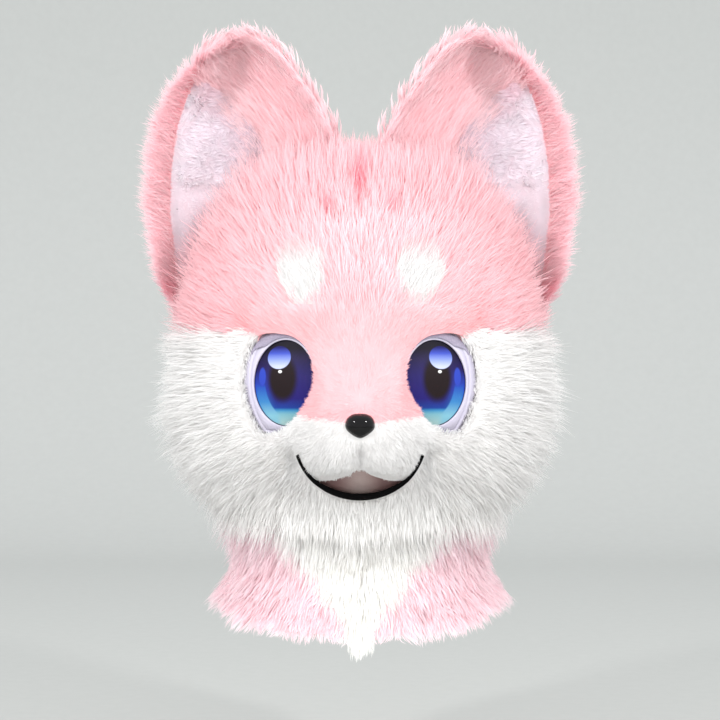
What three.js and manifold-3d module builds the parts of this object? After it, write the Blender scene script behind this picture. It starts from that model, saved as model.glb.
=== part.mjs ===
// A furry canine costume head: a hollow foam base in fur panels, two large ears, a see-through
// printed mesh eye on each side, a glossy nose, an open smiling mouth and a flared fur collar.
// Millimetres, +Z up, the face looks along -Y. The origin is the top of the hollow, where the
// crown of the wearer's head sits.
import * as THREE from "three";
import { mergeVertices } from "three/addons/utils/BufferGeometryUtils.js";
import Module from "manifold-3d";

const wasm = await Module();
wasm.setup();

// Driving sizes

const CLEARANCE = 0.4; // between two pieces that touch
const THROUGH = 500; // reach of a tool that cuts right through

// The foam base, measured from its own centre
const HEAD_CENTRE_Z = -105;
const HEAD_HALF_WIDTH = 143;
const HEAD_FRONT = 126;
const HEAD_BACK = 148;
const HEAD_TOP = 163;
const HEAD_BOTTOM = 152;
const HEAD_FLAT_BOTTOM_Z = -243;
const CROWN_ROUNDNESS = 2; // exponent of the curve over the top: 2 is an ellipse
const JAW_ROUNDNESS = 3; // a higher one is squarer

// The hollow that the wearer's head goes into
const HOLLOW_HALF_WIDTH = 112;
const HOLLOW_HALF_DEPTH = 122;
const HOLLOW_HEIGHT = 128; // from its widest level to the crown seat at z = 0
const NECK_HOLE_HALF_WIDTH = 82;
const NECK_HOLE_HALF_DEPTH = 92;
const NECK_CENTRE_Y = 14;

// Fur fabric: the depth of dense fur that the solid panels stand for, locks standing out of it
const LONG_PILE = 15;
const BACKING = 3;

// Ears
const EAR_TIP_Z = 174;
const EAR_FOOT_Z = -84;
const EAR_CUP_DEPTH = 50;
const EAR_EDGE_Y = 6;
const EAR_WALL = 8;
const EAR_RIM_ROLL = 9; // how much thicker the rolled outer rim is
const EAR_FRONT_FUR = 9; // how far the fur on the inner half stands out of the cup
const LINING_THICKNESS = 3;

// Eyes: the white bowl, its oval window and the printed mesh behind the window
const EYE_X = 66;
const EYE_Z = -134.5;
const EYE_YAW = THREE.MathUtils.degToRad(21);
const EYE_HALF_WIDTH = 32;
const EYE_HALF_HEIGHT = 41;
const EYE_DEPTH = 20;
const EYE_FLARE = 1.16; // how much wider the bowl is at its back
const EYE_WALL = 2.4;
const EYE_DOME_RADIUS = 105;
const EYE_PROUD = 5; // how far the bowl's front stands out of the foam
const IRIS_HALF_WIDTH = 26;
const IRIS_HALF_HEIGHT = 36.5;
const IRIS_SHIFT = 3; // towards the nose from the middle of the bowl
const IRIS_THICKNESS = 1.4;
const IRIS_LAP = 2; // how far the mesh reaches behind the edge of its window
const EYELID_THICKNESS = 1.4;
const EYELID_DROP = 5.5; // how far it hangs over the top of the eye
const EYELID_FOOT = 15; // its ends are this far above the middle of the eye

// Nose
const NOSE_Z = -169;
const NOSE_WIDTH = 25;
const NOSE_HEIGHT = 20;
const NOSE_PROUD = 9;

// Mouth, seen from the front
const MOUTH_CORNER_X = 53;
const MOUTH_CORNER_Z = -196;
const SMILE_FULLNESS = 0.64; // 0 is a V, 1 is a U
const LIP_BOTTOM_Z = -232.5;
const LIP_BAND = 6.2; // widest, in the middle
const LIP_BAND_PROUD = 6.5;
const UPPER_LIP_PEAK_Z = -206;
const UPPER_LIP_LOBE_Z = -216;
const UPPER_LIP_LOBE_X = 24;
const MOUTH_BACK_Y = -60; // how far back the opening is cut
const MOUTH_MESH_SUNK = 13; // behind the foam's face
const MOUTH_MESH_THICKNESS = 1.6;

// Where the colours and piles change, seen from the front
const PINK_BORDER_Z = -86; // pink above, white below
const PINK_BACK_Y = 40; // behind this the head is pink all the way down
const BRIDGE_TOP_Z = -74;
const BRIDGE_HALF_WIDTH = 34;
const BRIDGE_NECK_Z = -112; // it is narrowest between the eyes
const BRIDGE_WAIST_Z = -148; // and full width again beside the nose
const BRIDGE_END_Z = -172;
const BROW_SPOT_X = 50.5;
const BROW_SPOT_Z = -33;
const BROW_SPOT_HALF_WIDTH = 19;
const BROW_SPOT_HALF_HEIGHT = 27;
const MUZZLE_HALF_WIDTH = 60;
const MUZZLE_TOP_Z = -146;
const JAW_HALF_WIDTH = 62;
const JAW_TOP_ABOVE_CORNER = 4; // it begins this much above the corners of the mouth

// Collar
const COLLAR_TOP_Z = HEAD_FLAT_BOTTOM_Z - CLEARANCE;
const COLLAR_BOTTOM_Z = -362; // the point of the bib
const COLLAR_FRONT_Z = -350; // its edge across the breast
const COLLAR_SIDE_Z = -318; // its edge over the shoulders and behind
const COLLAR_HALF_WIDTH = 148; // at the level of the point, if it reached that far
const COLLAR_FUR = 9;
const COLLAR_HEM = 2; // the cloth shows this much below the fur
const BIB_TOP_HALF_WIDTH = 62;
const BIB_TIP_HALF_WIDTH = 12;
const BIB_SHOULDER = 20; // it keeps its full width this far down
const BIB_NARROW_ABOVE = 8; // and is narrow from this much above the collar's edge at the sides
const BIB_RUN_OUT = 20; // its outline runs on below the point

// Swellings of the foam base: where each points (degrees from straight ahead and above level),
// how far round and up it spreads (degrees) and how far it stands out.
const SWELLINGS = [
  { part: "bridge", azimuth: 0, elevation: -17, wide: 17, tall: 15, height: 26 },
  { part: "muzzle", azimuth: 0, elevation: -30, wide: 27, tall: 15, height: 36 },
  { part: "chin", azimuth: 0, elevation: -45, wide: 24, tall: 9, height: 7 },
  { part: "cheek", azimuth: 52, elevation: -30, wide: 26, tall: 20, height: 7 },
  { part: "brow", azimuth: 24, elevation: 12, wide: 16, tall: 10, height: 4 },
];

// An ear's outline without its fur, from foot to tip: the level, and how far its inner and outer
// edges are from the middle of the head.
const EAR_OUTLINE = [
  { level: 0.0, inner: 70, outer: 158 },
  { level: 0.14, inner: 46, outer: 177 },
  { level: 0.4, inner: 20, outer: 187 },
  { level: 0.58, inner: 14, outer: 185 },
  { level: 0.72, inner: 29, outer: 178 },
  { level: 0.83, inner: 47, outer: 167 },
  { level: 0.92, inner: 64, outer: 152 },
  { level: 0.97, inner: 77, outer: 138 },
  { level: 1.0, inner: 92, outer: 120 },
];

// Sections of the collar from its top edge down, as shares of its half width at the tip's level
const COLLAR_SECTIONS = [
  { level: 0.0, side: 0.64, front: 0.54, back: 0.68 },
  { level: 0.2, side: 0.64, front: 0.54, back: 0.68 },
  { level: 0.4, side: 0.67, front: 0.58, back: 0.7 },
  { level: 0.58, side: 0.74, front: 0.66, back: 0.76 },
  { level: 0.76, side: 0.86, front: 0.77, back: 0.86 },
  { level: 0.9, side: 0.95, front: 0.85, back: 0.94 },
  { level: 1.0, side: 1.0, front: 0.89, back: 0.98 },
];

// Rows of locks: on the head the roots lie on lines of equal elevation, from one azimuth to
// another (degrees), and the count is for both sides together or for one cheek.
const CROWN_LOCK_ROWS = [
  { elevation: 62, from: -130, to: 130, count: 4, length: 50 },
  { elevation: 42, from: -26, to: 26, count: 2, length: 42 },
  { elevation: 34, from: 125, to: 235, count: 3, length: 56 },
  { elevation: 8, from: 106, to: 254, count: 5, length: 62 },
  { elevation: -20, from: 116, to: 244, count: 4, length: 62 },
];
const CHEEK_LOCK_ROWS = [
  { elevation: 0, from: 76, to: 94, count: 2, length: 54 },
  { elevation: -14, from: 64, to: 98, count: 3, length: 62 },
  { elevation: -29, from: 58, to: 96, count: 3, length: 64 },
  { elevation: -43, from: 56, to: 92, count: 3, length: 52 },
];
const JAW_LOCK_ROWS = [{ elevation: -54, from: -16, to: 16, count: 3, length: 32 }];
// On the collar the rows lie at shares of its height, and run round it from the front
const COLLAR_LOCK_ROWS = [
  { level: 0.3, from: 58, to: 302, count: 6, length: 46 },
  { level: 0.56, from: 38, to: 322, count: 8, length: 44 },
];
const BIB_LOCK_ROWS = [
  { level: 0.36, from: -12, to: 12, count: 2, length: 42 },
  { level: 0.66, from: 0, to: 0, count: 1, length: 40 },
];
// On an ear the rows run up its back or its edges at a place across it: -1 inner, 1 outer
const EAR_LOCK_ROWS = [
  { across: 0.97, from: 0.16, to: 0.86, count: 4, length: 30, lean: 0.25 },
  { across: 0.25, from: 0.35, to: 0.8, count: 3, length: 44, lean: 0.85 },
  { across: -0.9, from: 0.62, to: 0.9, count: 2, length: 38, lean: 0.95 },
];

const LOCK_HALF_WIDTH = 17;
const LOCK_HALF_THICKNESS = 6;
const EAR_LOCK_HALF_THICKNESS = 2.5;
const EAR_LOCK_SHARE = 0.65; // of the half width that a lock has elsewhere
const LOCK_SUNK = 4; // how deep a lock's root is set in the fur
const LOCK_SIDES = 3;
const LOCK_DROOP = 0.55; // how far it lies down from its root to its tip
const POINT_GROWTH = 8; // a point grows this much more than a side to keep the same gap

const PINK = 0xffcdd6;
const DEEP_PINK = 0xfab4bf;
const WHITE = 0xf3f2ef;
const LINING_WHITE = 0xeee4ea;
const FOAM = 0xe9e4d8;
const EYE_WHITE = 0xe6e2ee;
const IRIS_BLUE = 0x24308a;
const LID_LILAC = 0xbbb9be;
const BLACK = 0x0b0a0c;
const MOUTH_BROWN = 0x6b5552;

// Tools: from a three.js geometry to a solid, and back to a named mesh

function solidOf(geometry) {
  const bare = geometry.clone();
  for (const name of Object.keys(bare.attributes)) {
    if (name !== "position") bare.deleteAttribute(name);
  }
  const welded = mergeVertices(bare, 1e-3);
  return new wasm.Manifold(
    new wasm.Mesh({
      numProp: 3,
      vertProperties: new Float32Array(welded.attributes.position.array),
      triVerts: new Uint32Array(welded.index.array),
    }),
  );
}

function join(solids) {
  return solids.reduce((all, next) => all.add(next));
}

// A cut can leave crumbs beside the piece itself: the piece is the largest body.
function largest(solid) {
  return solid.decompose().reduce((a, b) => (a.volume() > b.volume() ? a : b));
}

function meshOf(name, solid, color, roughness = 0.9) {
  const { vertProperties, triVerts, numProp } = largest(solid).getMesh();
  const position = new Float32Array((vertProperties.length / numProp) * 3);
  for (let i = 0; i < position.length / 3; i++) {
    position.set(vertProperties.subarray(i * numProp, i * numProp + 3), i * 3);
  }
  const geometry = new THREE.BufferGeometry();
  geometry.setAttribute("position", new THREE.BufferAttribute(position, 3));
  geometry.setIndex(new THREE.BufferAttribute(triVerts, 1));
  const material = new THREE.MeshStandardMaterial({ color, roughness, metalness: 0 });
  const mesh = new THREE.Mesh(geometry, material);
  mesh.name = name;
  return mesh;
}

// Moves every corner of a geometry to where place(corner) says.
function reshape(geometry, place) {
  const position = geometry.attributes.position;
  const corner = new THREE.Vector3();
  for (let i = 0; i < position.count; i++) {
    const moved = place(corner.fromBufferAttribute(position, i));
    position.setXYZ(i, moved.x, moved.y, moved.z);
  }
  return geometry;
}

function box(low, high) {
  const [width, depth, height] = low.map((value, i) => high[i] - value);
  const block = new THREE.BoxGeometry(width, depth, height);
  return solidOf(block.translate(low[0] + width / 2, low[1] + depth / 2, low[2] + height / 2));
}

// A shape drawn in the front view, x and z, cut through the part from one y to another.
function throughFront(shape, nearY, farY, curveSegments = 6) {
  const options = { depth: farY - nearY, bevelEnabled: false, curveSegments };
  const prism = new THREE.ExtrudeGeometry(shape, options);
  return solidOf(prism.rotateX(Math.PI / 2).translate(0, farY, 0));
}

function ellipse(x, z, halfWidth, halfHeight) {
  return new THREE.Shape().absellipse(x, z, halfWidth, halfHeight, 0, Math.PI * 2);
}

// Reads a table of levels: the named column at any level, on a smooth curve through the rows.
function column(table, name) {
  const points = table.map((row) => new THREE.Vector2(row.level, row[name]));
  const curve = new THREE.SplineCurve(points);
  return (level) => {
    const next = Math.max(1, table.findIndex((row) => row.level >= level));
    const [from, to] = [table[next - 1].level, table[next].level];
    const share = THREE.MathUtils.clamp((level - from) / (to - from), 0, 1);
    return curve.getPoint((next - 1 + share) / (table.length - 1)).y;
  };
}

// The head's form

const HEAD_CENTRE = new THREE.Vector3(0, 0, HEAD_CENTRE_Z);
const radians = THREE.MathUtils.degToRad;

function direction(azimuth, elevation) {
  const level = Math.cos(elevation);
  return new THREE.Vector3(
    Math.sin(azimuth) * level,
    -Math.cos(azimuth) * level,
    Math.sin(elevation),
  );
}

const azimuthOf = (way) => Math.atan2(way.x, -way.y);
const elevationOf = (way) => Math.asin(THREE.MathUtils.clamp(way.z, -1, 1));

// 1 in the middle of a patch, falling smoothly to 0 round it. Both sides of the head are alike.
function patch(way, { azimuth, elevation, wide, tall }) {
  const across = (Math.abs(azimuthOf(way)) - radians(azimuth)) / radians(wide);
  const up = (elevationOf(way) - radians(elevation)) / radians(tall);
  return Math.exp(-across * across - up * up);
}

// How far the foam's surface is from the head's centre in a direction.
function headRadius(way) {
  const depth = way.y < 0 ? HEAD_FRONT : HEAD_BACK;
  const round = way.z > 0 ? CROWN_ROUNDNESS : JAW_ROUNDNESS;
  const level = Math.hypot(way.x / HEAD_HALF_WIDTH, way.y / depth);
  const upright = Math.abs(way.z) / (way.z > 0 ? HEAD_TOP : HEAD_BOTTOM);
  const base = (level ** round + upright ** round) ** (-1 / round);
  return SWELLINGS.reduce((sum, row) => sum + row.height * patch(way, row), base);
}

// The depth of the fur panels. It is shaved short over the face.
const SHORT_PILE_PATCH = { azimuth: 0, elevation: -20, wide: 36, tall: 26 };
const SHORT_PILE_SHARE = 0.68;
const pileDepth = (way) => LONG_PILE * (1 - SHORT_PILE_SHARE * patch(way, SHORT_PILE_PATCH));

// Rows and columns of the head's mesh crowd together round the muzzle.
const HEAD_COLUMNS = 20;
const HEAD_ROWS = 14;
const FRONT_CROWDING = 0.3;
const MUZZLE_CROWDING = 0.5;
const MUZZLE_LEVEL = radians(-28);

function crowded(way) {
  const azimuth = azimuthOf(way);
  const elevation = elevationOf(way);
  const pull = Math.cos(elevation) ** 2 * Math.sin(2 * (elevation - MUZZLE_LEVEL));
  return direction(
    azimuth - FRONT_CROWDING * Math.sin(azimuth),
    elevation - (MUZZLE_CROWDING / 2) * pull,
  );
}

function headForm(offset, columns = HEAD_COLUMNS, rows = HEAD_ROWS) {
  const ball = new THREE.SphereGeometry(1, columns, rows).rotateX(Math.PI / 2);
  return solidOf(
    reshape(ball, (corner) => {
      const way = crowded(corner.clone().normalize());
      return way.clone().multiplyScalar(headRadius(way) + offset(way)).add(HEAD_CENTRE);
    }),
  );
}

// The point of the head's surface that the front view shows at x and z.
function facePoint(x, z, offset = 0) {
  let y = -HEAD_FRONT;
  for (let step = 0; step < 30; step++) {
    const way = new THREE.Vector3(x, y, z).sub(HEAD_CENTRE);
    const distance = way.length();
    way.divideScalar(distance);
    y -= (headRadius(way) + offset - distance) / Math.max(0.5, -way.y);
  }
  return new THREE.Vector3(x, y, z);
}

// Locks of fur: flat pointed wedges that bend over as they leave their root

function lock({ root, normal, flow, length, halfWidth, halfThickness, lift, grow }) {
  const wedge = new THREE.ConeGeometry(1, 1, LOCK_SIDES, 2).translate(0, 0.5, 0);
  const side = new THREE.Vector3().crossVectors(flow, normal).normalize();
  const spine = (share) => {
    const along = share * (length + LOCK_SUNK);
    const bend = lift * (1 - LOCK_DROOP * share);
    return root
      .clone()
      .addScaledVector(normal, along * bend - LOCK_SUNK)
      .addScaledVector(flow, along * Math.sqrt(1 - bend * bend));
  };
  const pointing = spine(1).sub(spine(0.5)).normalize();
  return solidOf(
    reshape(wedge, ({ x, y, z }) =>
      spine(y)
        .addScaledVector(pointing, y > 0.9 ? grow * POINT_GROWTH : 0)
        .addScaledVector(normal, z * (halfThickness + grow))
        .addScaledVector(side, x * (halfWidth + grow)),
    ),
  );
}

// The places of a row's locks, evenly spaced. Rows are staggered like tiles, and each lock's
// length and width differ a little, by a fixed rule.
function rowPlaces({ from, to, count, length }, rowNumber) {
  return Array.from({ length: count }, (_, i) => {
    const share = count === 1 ? 0.5 : i / (count - 1);
    const mirrored = Math.min(i, count - 1 - i);
    const uneven = Math.sin(mirrored * 2.4 + rowNumber * 1.7);
    return {
      place: from + (to - from) * share,
      length: length * (1 + 0.12 * uneven),
      halfWidth: LOCK_HALF_WIDTH * (1 + 0.14 * Math.cos(mirrored * 1.9 + rowNumber)),
      halfThickness: LOCK_HALF_THICKNESS,
    };
  });
}

// On the head the nap runs away from the top of the nose, and hangs down at the back.
const NAP_CENTRE = facePoint(0, NOSE_Z + 20);
const NAP_HANG = 0.9;

function nap(point, normal) {
  const away = point.clone().sub(NAP_CENTRE).normalize();
  const hang = NAP_HANG * THREE.MathUtils.smoothstep(point.y, -40, HEAD_BACK);
  away.z -= hang * 1.4;
  return away.addScaledVector(normal, -away.dot(normal)).normalize();
}

const HEAD_LOCK_LIFT = 0.52;

function headLocks(rows, grow, mirror = 1) {
  return rows.flatMap((row, rowNumber) =>
    rowPlaces(row, rowNumber).map(({ place, ...size }) => {
      const way = direction(radians(place) * mirror, radians(row.elevation));
      const root = way.clone().multiplyScalar(headRadius(way) + pileDepth(way)).add(HEAD_CENTRE);
      const flow = nap(root, way);
      return lock({ root, normal: way, flow, ...size, lift: HEAD_LOCK_LIFT, grow });
    }),
  );
}

// Outlines in the front view. Each grows by a clearance when it cuts a neighbour.

// The white of the face: all below a level border, but for the pink bridge between the eyes
function whiteOutline(grow) {
  const half = BRIDGE_HALF_WIDTH - grow;
  const border = PINK_BORDER_Z + grow;
  const end = BRIDGE_END_Z + grow;
  const wide = THROUGH / 2;
  const shape = new THREE.Shape();
  shape.moveTo(-wide, border);
  shape.lineTo(-half * 1.5, border);
  shape.bezierCurveTo(-half, border, -half * 0.75, BRIDGE_NECK_Z, -half, BRIDGE_WAIST_Z);
  shape.bezierCurveTo(-half * 1.05, end, -half * 0.7, end, 0, end);
  shape.bezierCurveTo(half * 0.7, end, half * 1.05, end, half, BRIDGE_WAIST_Z);
  shape.bezierCurveTo(half * 0.75, BRIDGE_NECK_Z, half, border, half * 1.5, border);
  shape.lineTo(wide, border);
  shape.lineTo(wide, -THROUGH);
  shape.lineTo(-wide, -THROUGH);
  return shape;
}

// The edge of the upper lip: two lobes that meet at a peak below the nose
function upperLip(shape) {
  const [lobe, lobeZ] = [UPPER_LIP_LOBE_X, UPPER_LIP_LOBE_Z];
  const rise = UPPER_LIP_PEAK_Z - UPPER_LIP_LOBE_Z;
  shape.quadraticCurveTo(-lobe * 1.7, lobeZ + rise * 0.3, -lobe, lobeZ);
  shape.quadraticCurveTo(-lobe * 0.35, lobeZ + rise * 0.2, 0, UPPER_LIP_PEAK_Z);
  shape.quadraticCurveTo(lobe * 0.35, lobeZ + rise * 0.2, lobe, lobeZ);
  shape.quadraticCurveTo(lobe * 1.7, lobeZ + rise * 0.3, MOUTH_CORNER_X, MOUTH_CORNER_Z);
}

// The lower edge of the smile: a bow from one corner of the mouth to the other.
function smileBow(shape, bottomZ, toX) {
  const control = (bottomZ - MOUTH_CORNER_Z / 4) / 0.75;
  const handle = MOUTH_CORNER_X * SMILE_FULLNESS * Math.sign(toX);
  shape.bezierCurveTo(-handle, control, handle, control, toX, MOUTH_CORNER_Z);
}

function mouthOutline(bottomZ) {
  const shape = new THREE.Shape();
  shape.moveTo(-MOUTH_CORNER_X, MOUTH_CORNER_Z);
  upperLip(shape);
  smileBow(shape, bottomZ, -MOUTH_CORNER_X);
  return shape;
}

function lipBandOutline(grow = 0) {
  const corner = MOUTH_CORNER_X + grow * POINT_GROWTH;
  const shape = new THREE.Shape();
  shape.moveTo(-corner, MOUTH_CORNER_Z);
  smileBow(shape, LIP_BOTTOM_Z - grow, corner);
  smileBow(shape, LIP_BOTTOM_Z + LIP_BAND + grow, -corner);
  return shape;
}

function muzzleOutline(grow = 0) {
  const half = MUZZLE_HALF_WIDTH + grow;
  const corner = MOUTH_CORNER_X + grow;
  const top = MUZZLE_TOP_Z + grow;
  const low = THREE.MathUtils.lerp(MOUTH_CORNER_Z, MUZZLE_TOP_Z, 0.36);
  const high = THREE.MathUtils.lerp(MOUTH_CORNER_Z, MUZZLE_TOP_Z, 0.92);
  const shape = new THREE.Shape();
  shape.moveTo(-corner, MOUTH_CORNER_Z);
  shape.bezierCurveTo(-half * 1.15, low, -half * 0.95, high, -half * 0.5, top);
  shape.lineTo(half * 0.5, top);
  shape.bezierCurveTo(half * 0.95, high, half * 1.15, low, corner, MOUTH_CORNER_Z);
  smileBow(shape, LIP_BOTTOM_Z - grow, -corner);
  return shape;
}

function jawOutline(grow = 0) {
  const half = JAW_HALF_WIDTH + grow;
  const top = MOUTH_CORNER_Z + JAW_TOP_ABOVE_CORNER + grow;
  const shape = new THREE.Shape();
  shape.moveTo(-half, top);
  shape.lineTo(half, top);
  shape.lineTo(half * 0.9, -THROUGH);
  shape.lineTo(-half * 0.9, -THROUGH);
  return shape;
}

// Eyes

function eyeOutline(grow = 0) {
  const [w, h] = [EYE_HALF_WIDTH + grow, EYE_HALF_HEIGHT + grow];
  const shape = new THREE.Shape();
  shape.moveTo(-w, 0);
  shape.bezierCurveTo(-w, h * 0.62, -w * 0.55, h, 0, h);
  shape.bezierCurveTo(w * 0.5, h, w * 0.84, h * 0.9, w * 0.95, h * 0.45);
  shape.bezierCurveTo(w * 1.06, 0, w * 0.98, -h * 0.55, w * 0.62, -h);
  shape.bezierCurveTo(w * 0.3, -h * 1.06, -w * 0.2, -h * 1.02, -w * 0.45, -h * 0.86);
  shape.bezierCurveTo(-w * 0.8, -h * 0.6, -w, -h * 0.4, -w, 0);
  return shape;
}

// The eye's own frame: x out to the side, z up, and the front at y = 0. The bowl flares backwards.
function eyeBlock(grow, frontY, backY, curveSegments = 3) {
  const options = { depth: 1, bevelEnabled: false, curveSegments };
  const prism = new THREE.ExtrudeGeometry(eyeOutline(grow), options);
  prism.rotateX(Math.PI / 2).translate(0, 1, 0);
  return solidOf(
    reshape(prism, ({ x, y, z }) => {
      const depth = frontY + (backY - frontY) * y;
      const flare = 1 + ((EYE_FLARE - 1) * depth) / EYE_DEPTH;
      return new THREE.Vector3(x * flare, depth, z * flare);
    }),
  );
}

function dome(sink) {
  const ball = new THREE.SphereGeometry(EYE_DOME_RADIUS - sink, 20, 14);
  return solidOf(ball.translate(0, EYE_DOME_RADIUS, 0));
}

const irisPrism = (grow, backY = EYE_DEPTH * 2) => {
  const window = ellipse(-IRIS_SHIFT, 0, IRIS_HALF_WIDTH + grow, IRIS_HALF_HEIGHT + grow);
  return throughFront(window, -EYE_DEPTH, backY);
};

function eyeWhite() {
  const outside = eyeBlock(0, -EYE_DEPTH, EYE_DEPTH).intersect(dome(0));
  const inside = eyeBlock(-EYE_WALL, -EYE_DEPTH, EYE_DEPTH + 1).intersect(dome(EYE_WALL));
  return outside.subtract(inside).subtract(irisPrism(0));
}

function iris() {
  const front = EYE_WALL + CLEARANCE;
  const disc = irisPrism(IRIS_LAP).intersect(eyeBlock(-EYE_WALL - CLEARANCE, -EYE_DEPTH, EYE_DEPTH));
  return disc.intersect(dome(front)).subtract(dome(front + IRIS_THICKNESS));
}

function eyelid() {
  const back = -CLEARANCE;
  const shell = dome(back - EYELID_THICKNESS).subtract(dome(back));
  const eyeTop = EYE_HALF_HEIGHT - EYELID_DROP;
  const opening = ellipse(-IRIS_SHIFT, 0, EYE_HALF_WIDTH, eyeTop);
  return shell
    .intersect(eyeBlock(-CLEARANCE, -EYE_DEPTH, EYE_DEPTH))
    .intersect(box([-THROUGH, -THROUGH, EYELID_FOOT], [THROUGH, THROUGH, THROUGH]))
    .subtract(throughFront(opening, -THROUGH, THROUGH));
}

// An eye's frame in the head, for the side that it is on: 1 is +X.
function eyePlace(side) {
  const seat = facePoint(EYE_X, EYE_Z, EYE_PROUD);
  const turn = new THREE.Matrix4().makeRotationZ(EYE_YAW);
  const place = turn.setPosition(seat);
  return side > 0 ? place : new THREE.Matrix4().makeScale(-1, 1, 1).multiply(place);
}

// A solid moved by a matrix. A mirrored one keeps its faces pointing out.
const placed = (solid, matrix) => solid.transform(matrix.elements);

const eyeSocket = (side) =>
  placed(eyeBlock(CLEARANCE, -EYE_DEPTH * 3, EYE_DEPTH + CLEARANCE), eyePlace(side));

// Behind the bowl the foam has a smaller window, so the bowl has a ledge to sit on.
const EYE_LEDGE = 7;
const sightHole = (side) => placed(irisPrism(-EYE_LEDGE / 2, HEAD_FRONT * 0.75), eyePlace(side));

// The foam base

function hollow() {
  const ball = new THREE.SphereGeometry(1, 14, 8).rotateX(Math.PI / 2);
  ball.scale(HOLLOW_HALF_WIDTH, HOLLOW_HALF_DEPTH, HOLLOW_HEIGHT);
  return solidOf(ball.translate(0, 4, -HOLLOW_HEIGHT));
}

function neckHole(grow = 0) {
  const hole = new THREE.CylinderGeometry(1, 1, 1, 16).rotateX(Math.PI / 2);
  const height = -HOLLOW_HEIGHT - HEAD_FLAT_BOTTOM_Z + 2;
  hole.scale(NECK_HOLE_HALF_WIDTH + grow, NECK_HOLE_HALF_DEPTH + grow, height);
  return solidOf(hole.translate(0, NECK_CENTRE_Y, HEAD_FLAT_BOTTOM_Z - 1 + height / 2));
}

const mouthHole = throughFront(mouthOutline(LIP_BOTTOM_Z + LIP_BAND), -THROUGH, MOUTH_BACK_Y);
const belowHead = box([-THROUGH, -THROUGH, -THROUGH], [THROUGH, THROUGH, HEAD_FLAT_BOTTOM_Z]);

function headBase() {
  let foam = headForm(() => 0);
  foam = foam.subtract(hollow()).subtract(neckHole()).subtract(belowHead);
  for (const side of [-1, 1]) {
    foam = foam.subtract(eyeSocket(side)).subtract(sightHole(side));
  }
  return foam.subtract(mouthHole);
}

// Collar: a cloth tube that flares over the shoulders, lofted through its sections

const collarSide = column(COLLAR_SECTIONS, "side");
const collarFront = column(COLLAR_SECTIONS, "front");
const collarBack = column(COLLAR_SECTIONS, "back");

function collarPoint(azimuth, level, offset) {
  const depth = Math.cos(azimuth) > 0 ? collarFront(level) : collarBack(level);
  return new THREE.Vector3(
    Math.sin(azimuth) * (COLLAR_HALF_WIDTH * collarSide(level) + offset),
    NECK_CENTRE_Y - Math.cos(azimuth) * (COLLAR_HALF_WIDTH * depth + offset),
    COLLAR_TOP_Z + (COLLAR_BOTTOM_Z - COLLAR_TOP_Z) * level,
  );
}

const COLLAR_COLUMNS = 16;
const COLLAR_ROWS = 4;

// All that is within a distance of the collar's surface, filled to the middle of the neck
function collarSolid(offset) {
  const levels = Array.from({ length: COLLAR_ROWS + 1 }, (_, i) => 1 - i / COLLAR_ROWS);
  const profile = levels.map((level) => new THREE.Vector2(1, level));
  profile.unshift(new THREE.Vector2(0, 1));
  profile.push(new THREE.Vector2(0, 0));
  const middle = new THREE.Vector3(0, NECK_CENTRE_Y, 0);
  return solidOf(
    reshape(new THREE.LatheGeometry(profile, COLLAR_COLUMNS), ({ x, y: level, z }) => {
      const point = collarPoint(Math.atan2(x, z), level, offset);
      return Math.hypot(x, z) > 0.5 ? point : middle.setZ(point.z);
    }),
  );
}

// Fur panels of the head: one shell round the foam, parted by the outlines

const furOutside = headForm(pileDepth);
const furShell = (() => {
  let shell = furOutside.subtract(headForm(() => CLEARANCE)).subtract(belowHead);
  for (const side of [-1, 1]) shell = shell.subtract(eyeSocket(side));
  return shell.subtract(mouthHole);
})();

const frontOf = (shape) => throughFront(shape, -THROUGH, 0);
const whiteRegion = (grow) => throughFront(whiteOutline(grow), -THROUGH, PINK_BACK_Y + grow);
const bridgeBox = (grow) =>
  box(
    [-BRIDGE_HALF_WIDTH * 1.8 - grow, -THROUGH, BRIDGE_END_Z * 2],
    [BRIDGE_HALF_WIDTH * 1.8 + grow, 0, BRIDGE_TOP_Z + grow],
  );
const browSpotPrism = (side, grow) =>
  throughFront(
    ellipse(
      side * BROW_SPOT_X,
      BROW_SPOT_Z,
      BROW_SPOT_HALF_WIDTH + grow,
      BROW_SPOT_HALF_HEIGHT + grow,
    ),
    -THROUGH,
    0,
  );

const halfSpace = (side, gap) =>
  side > 0
    ? box([gap / 2, -THROUGH, -THROUGH], [THROUGH, THROUGH, THROUGH])
    : box([-THROUGH, -THROUGH, -THROUGH], [-gap / 2, THROUGH, THROUGH]);

const whiteShell = furShell.intersect(whiteRegion(0));
const pinkShell = furShell.subtract(whiteRegion(CLEARANCE));

// Locks that hang over the collar stay clear of its cloth.
const collarRoom = collarSolid(BACKING + CLEARANCE);

function cheek(side, grow = 0) {
  const panel = whiteShell
    .subtract(frontOf(muzzleOutline(CLEARANCE - grow)))
    .subtract(frontOf(jawOutline(CLEARANCE - grow)))
    .intersect(halfSpace(side, CLEARANCE));
  return panel.add(join(headLocks(CHEEK_LOCK_ROWS, grow, side)).subtract(belowHead));
}

function jaw(grow = 0) {
  const panel = whiteShell
    .intersect(frontOf(jawOutline(grow)))
    .subtract(frontOf(muzzleOutline(CLEARANCE - grow)));
  const locks = join(headLocks(JAW_LOCK_ROWS, grow)).subtract(headForm(() => CLEARANCE));
  return join([panel, locks]).subtract(collarRoom);
}

const muzzle = () => whiteShell.intersect(frontOf(muzzleOutline()));
const bridge = () => pinkShell.intersect(bridgeBox(0));
const browSpot = (side) => furShell.intersect(browSpotPrism(side, 0));

function crown() {
  const panel = pinkShell.subtract(bridgeBox(CLEARANCE));
  let fur = panel.add(join(headLocks(CROWN_LOCK_ROWS, 0)).subtract(belowHead));
  for (const side of [-1, 1]) fur = fur.subtract(browSpotPrism(side, CLEARANCE));
  return fur;
}

// Ears: a cupped sheet between an inner and an outer edge, thicker at its rolled rim

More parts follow.
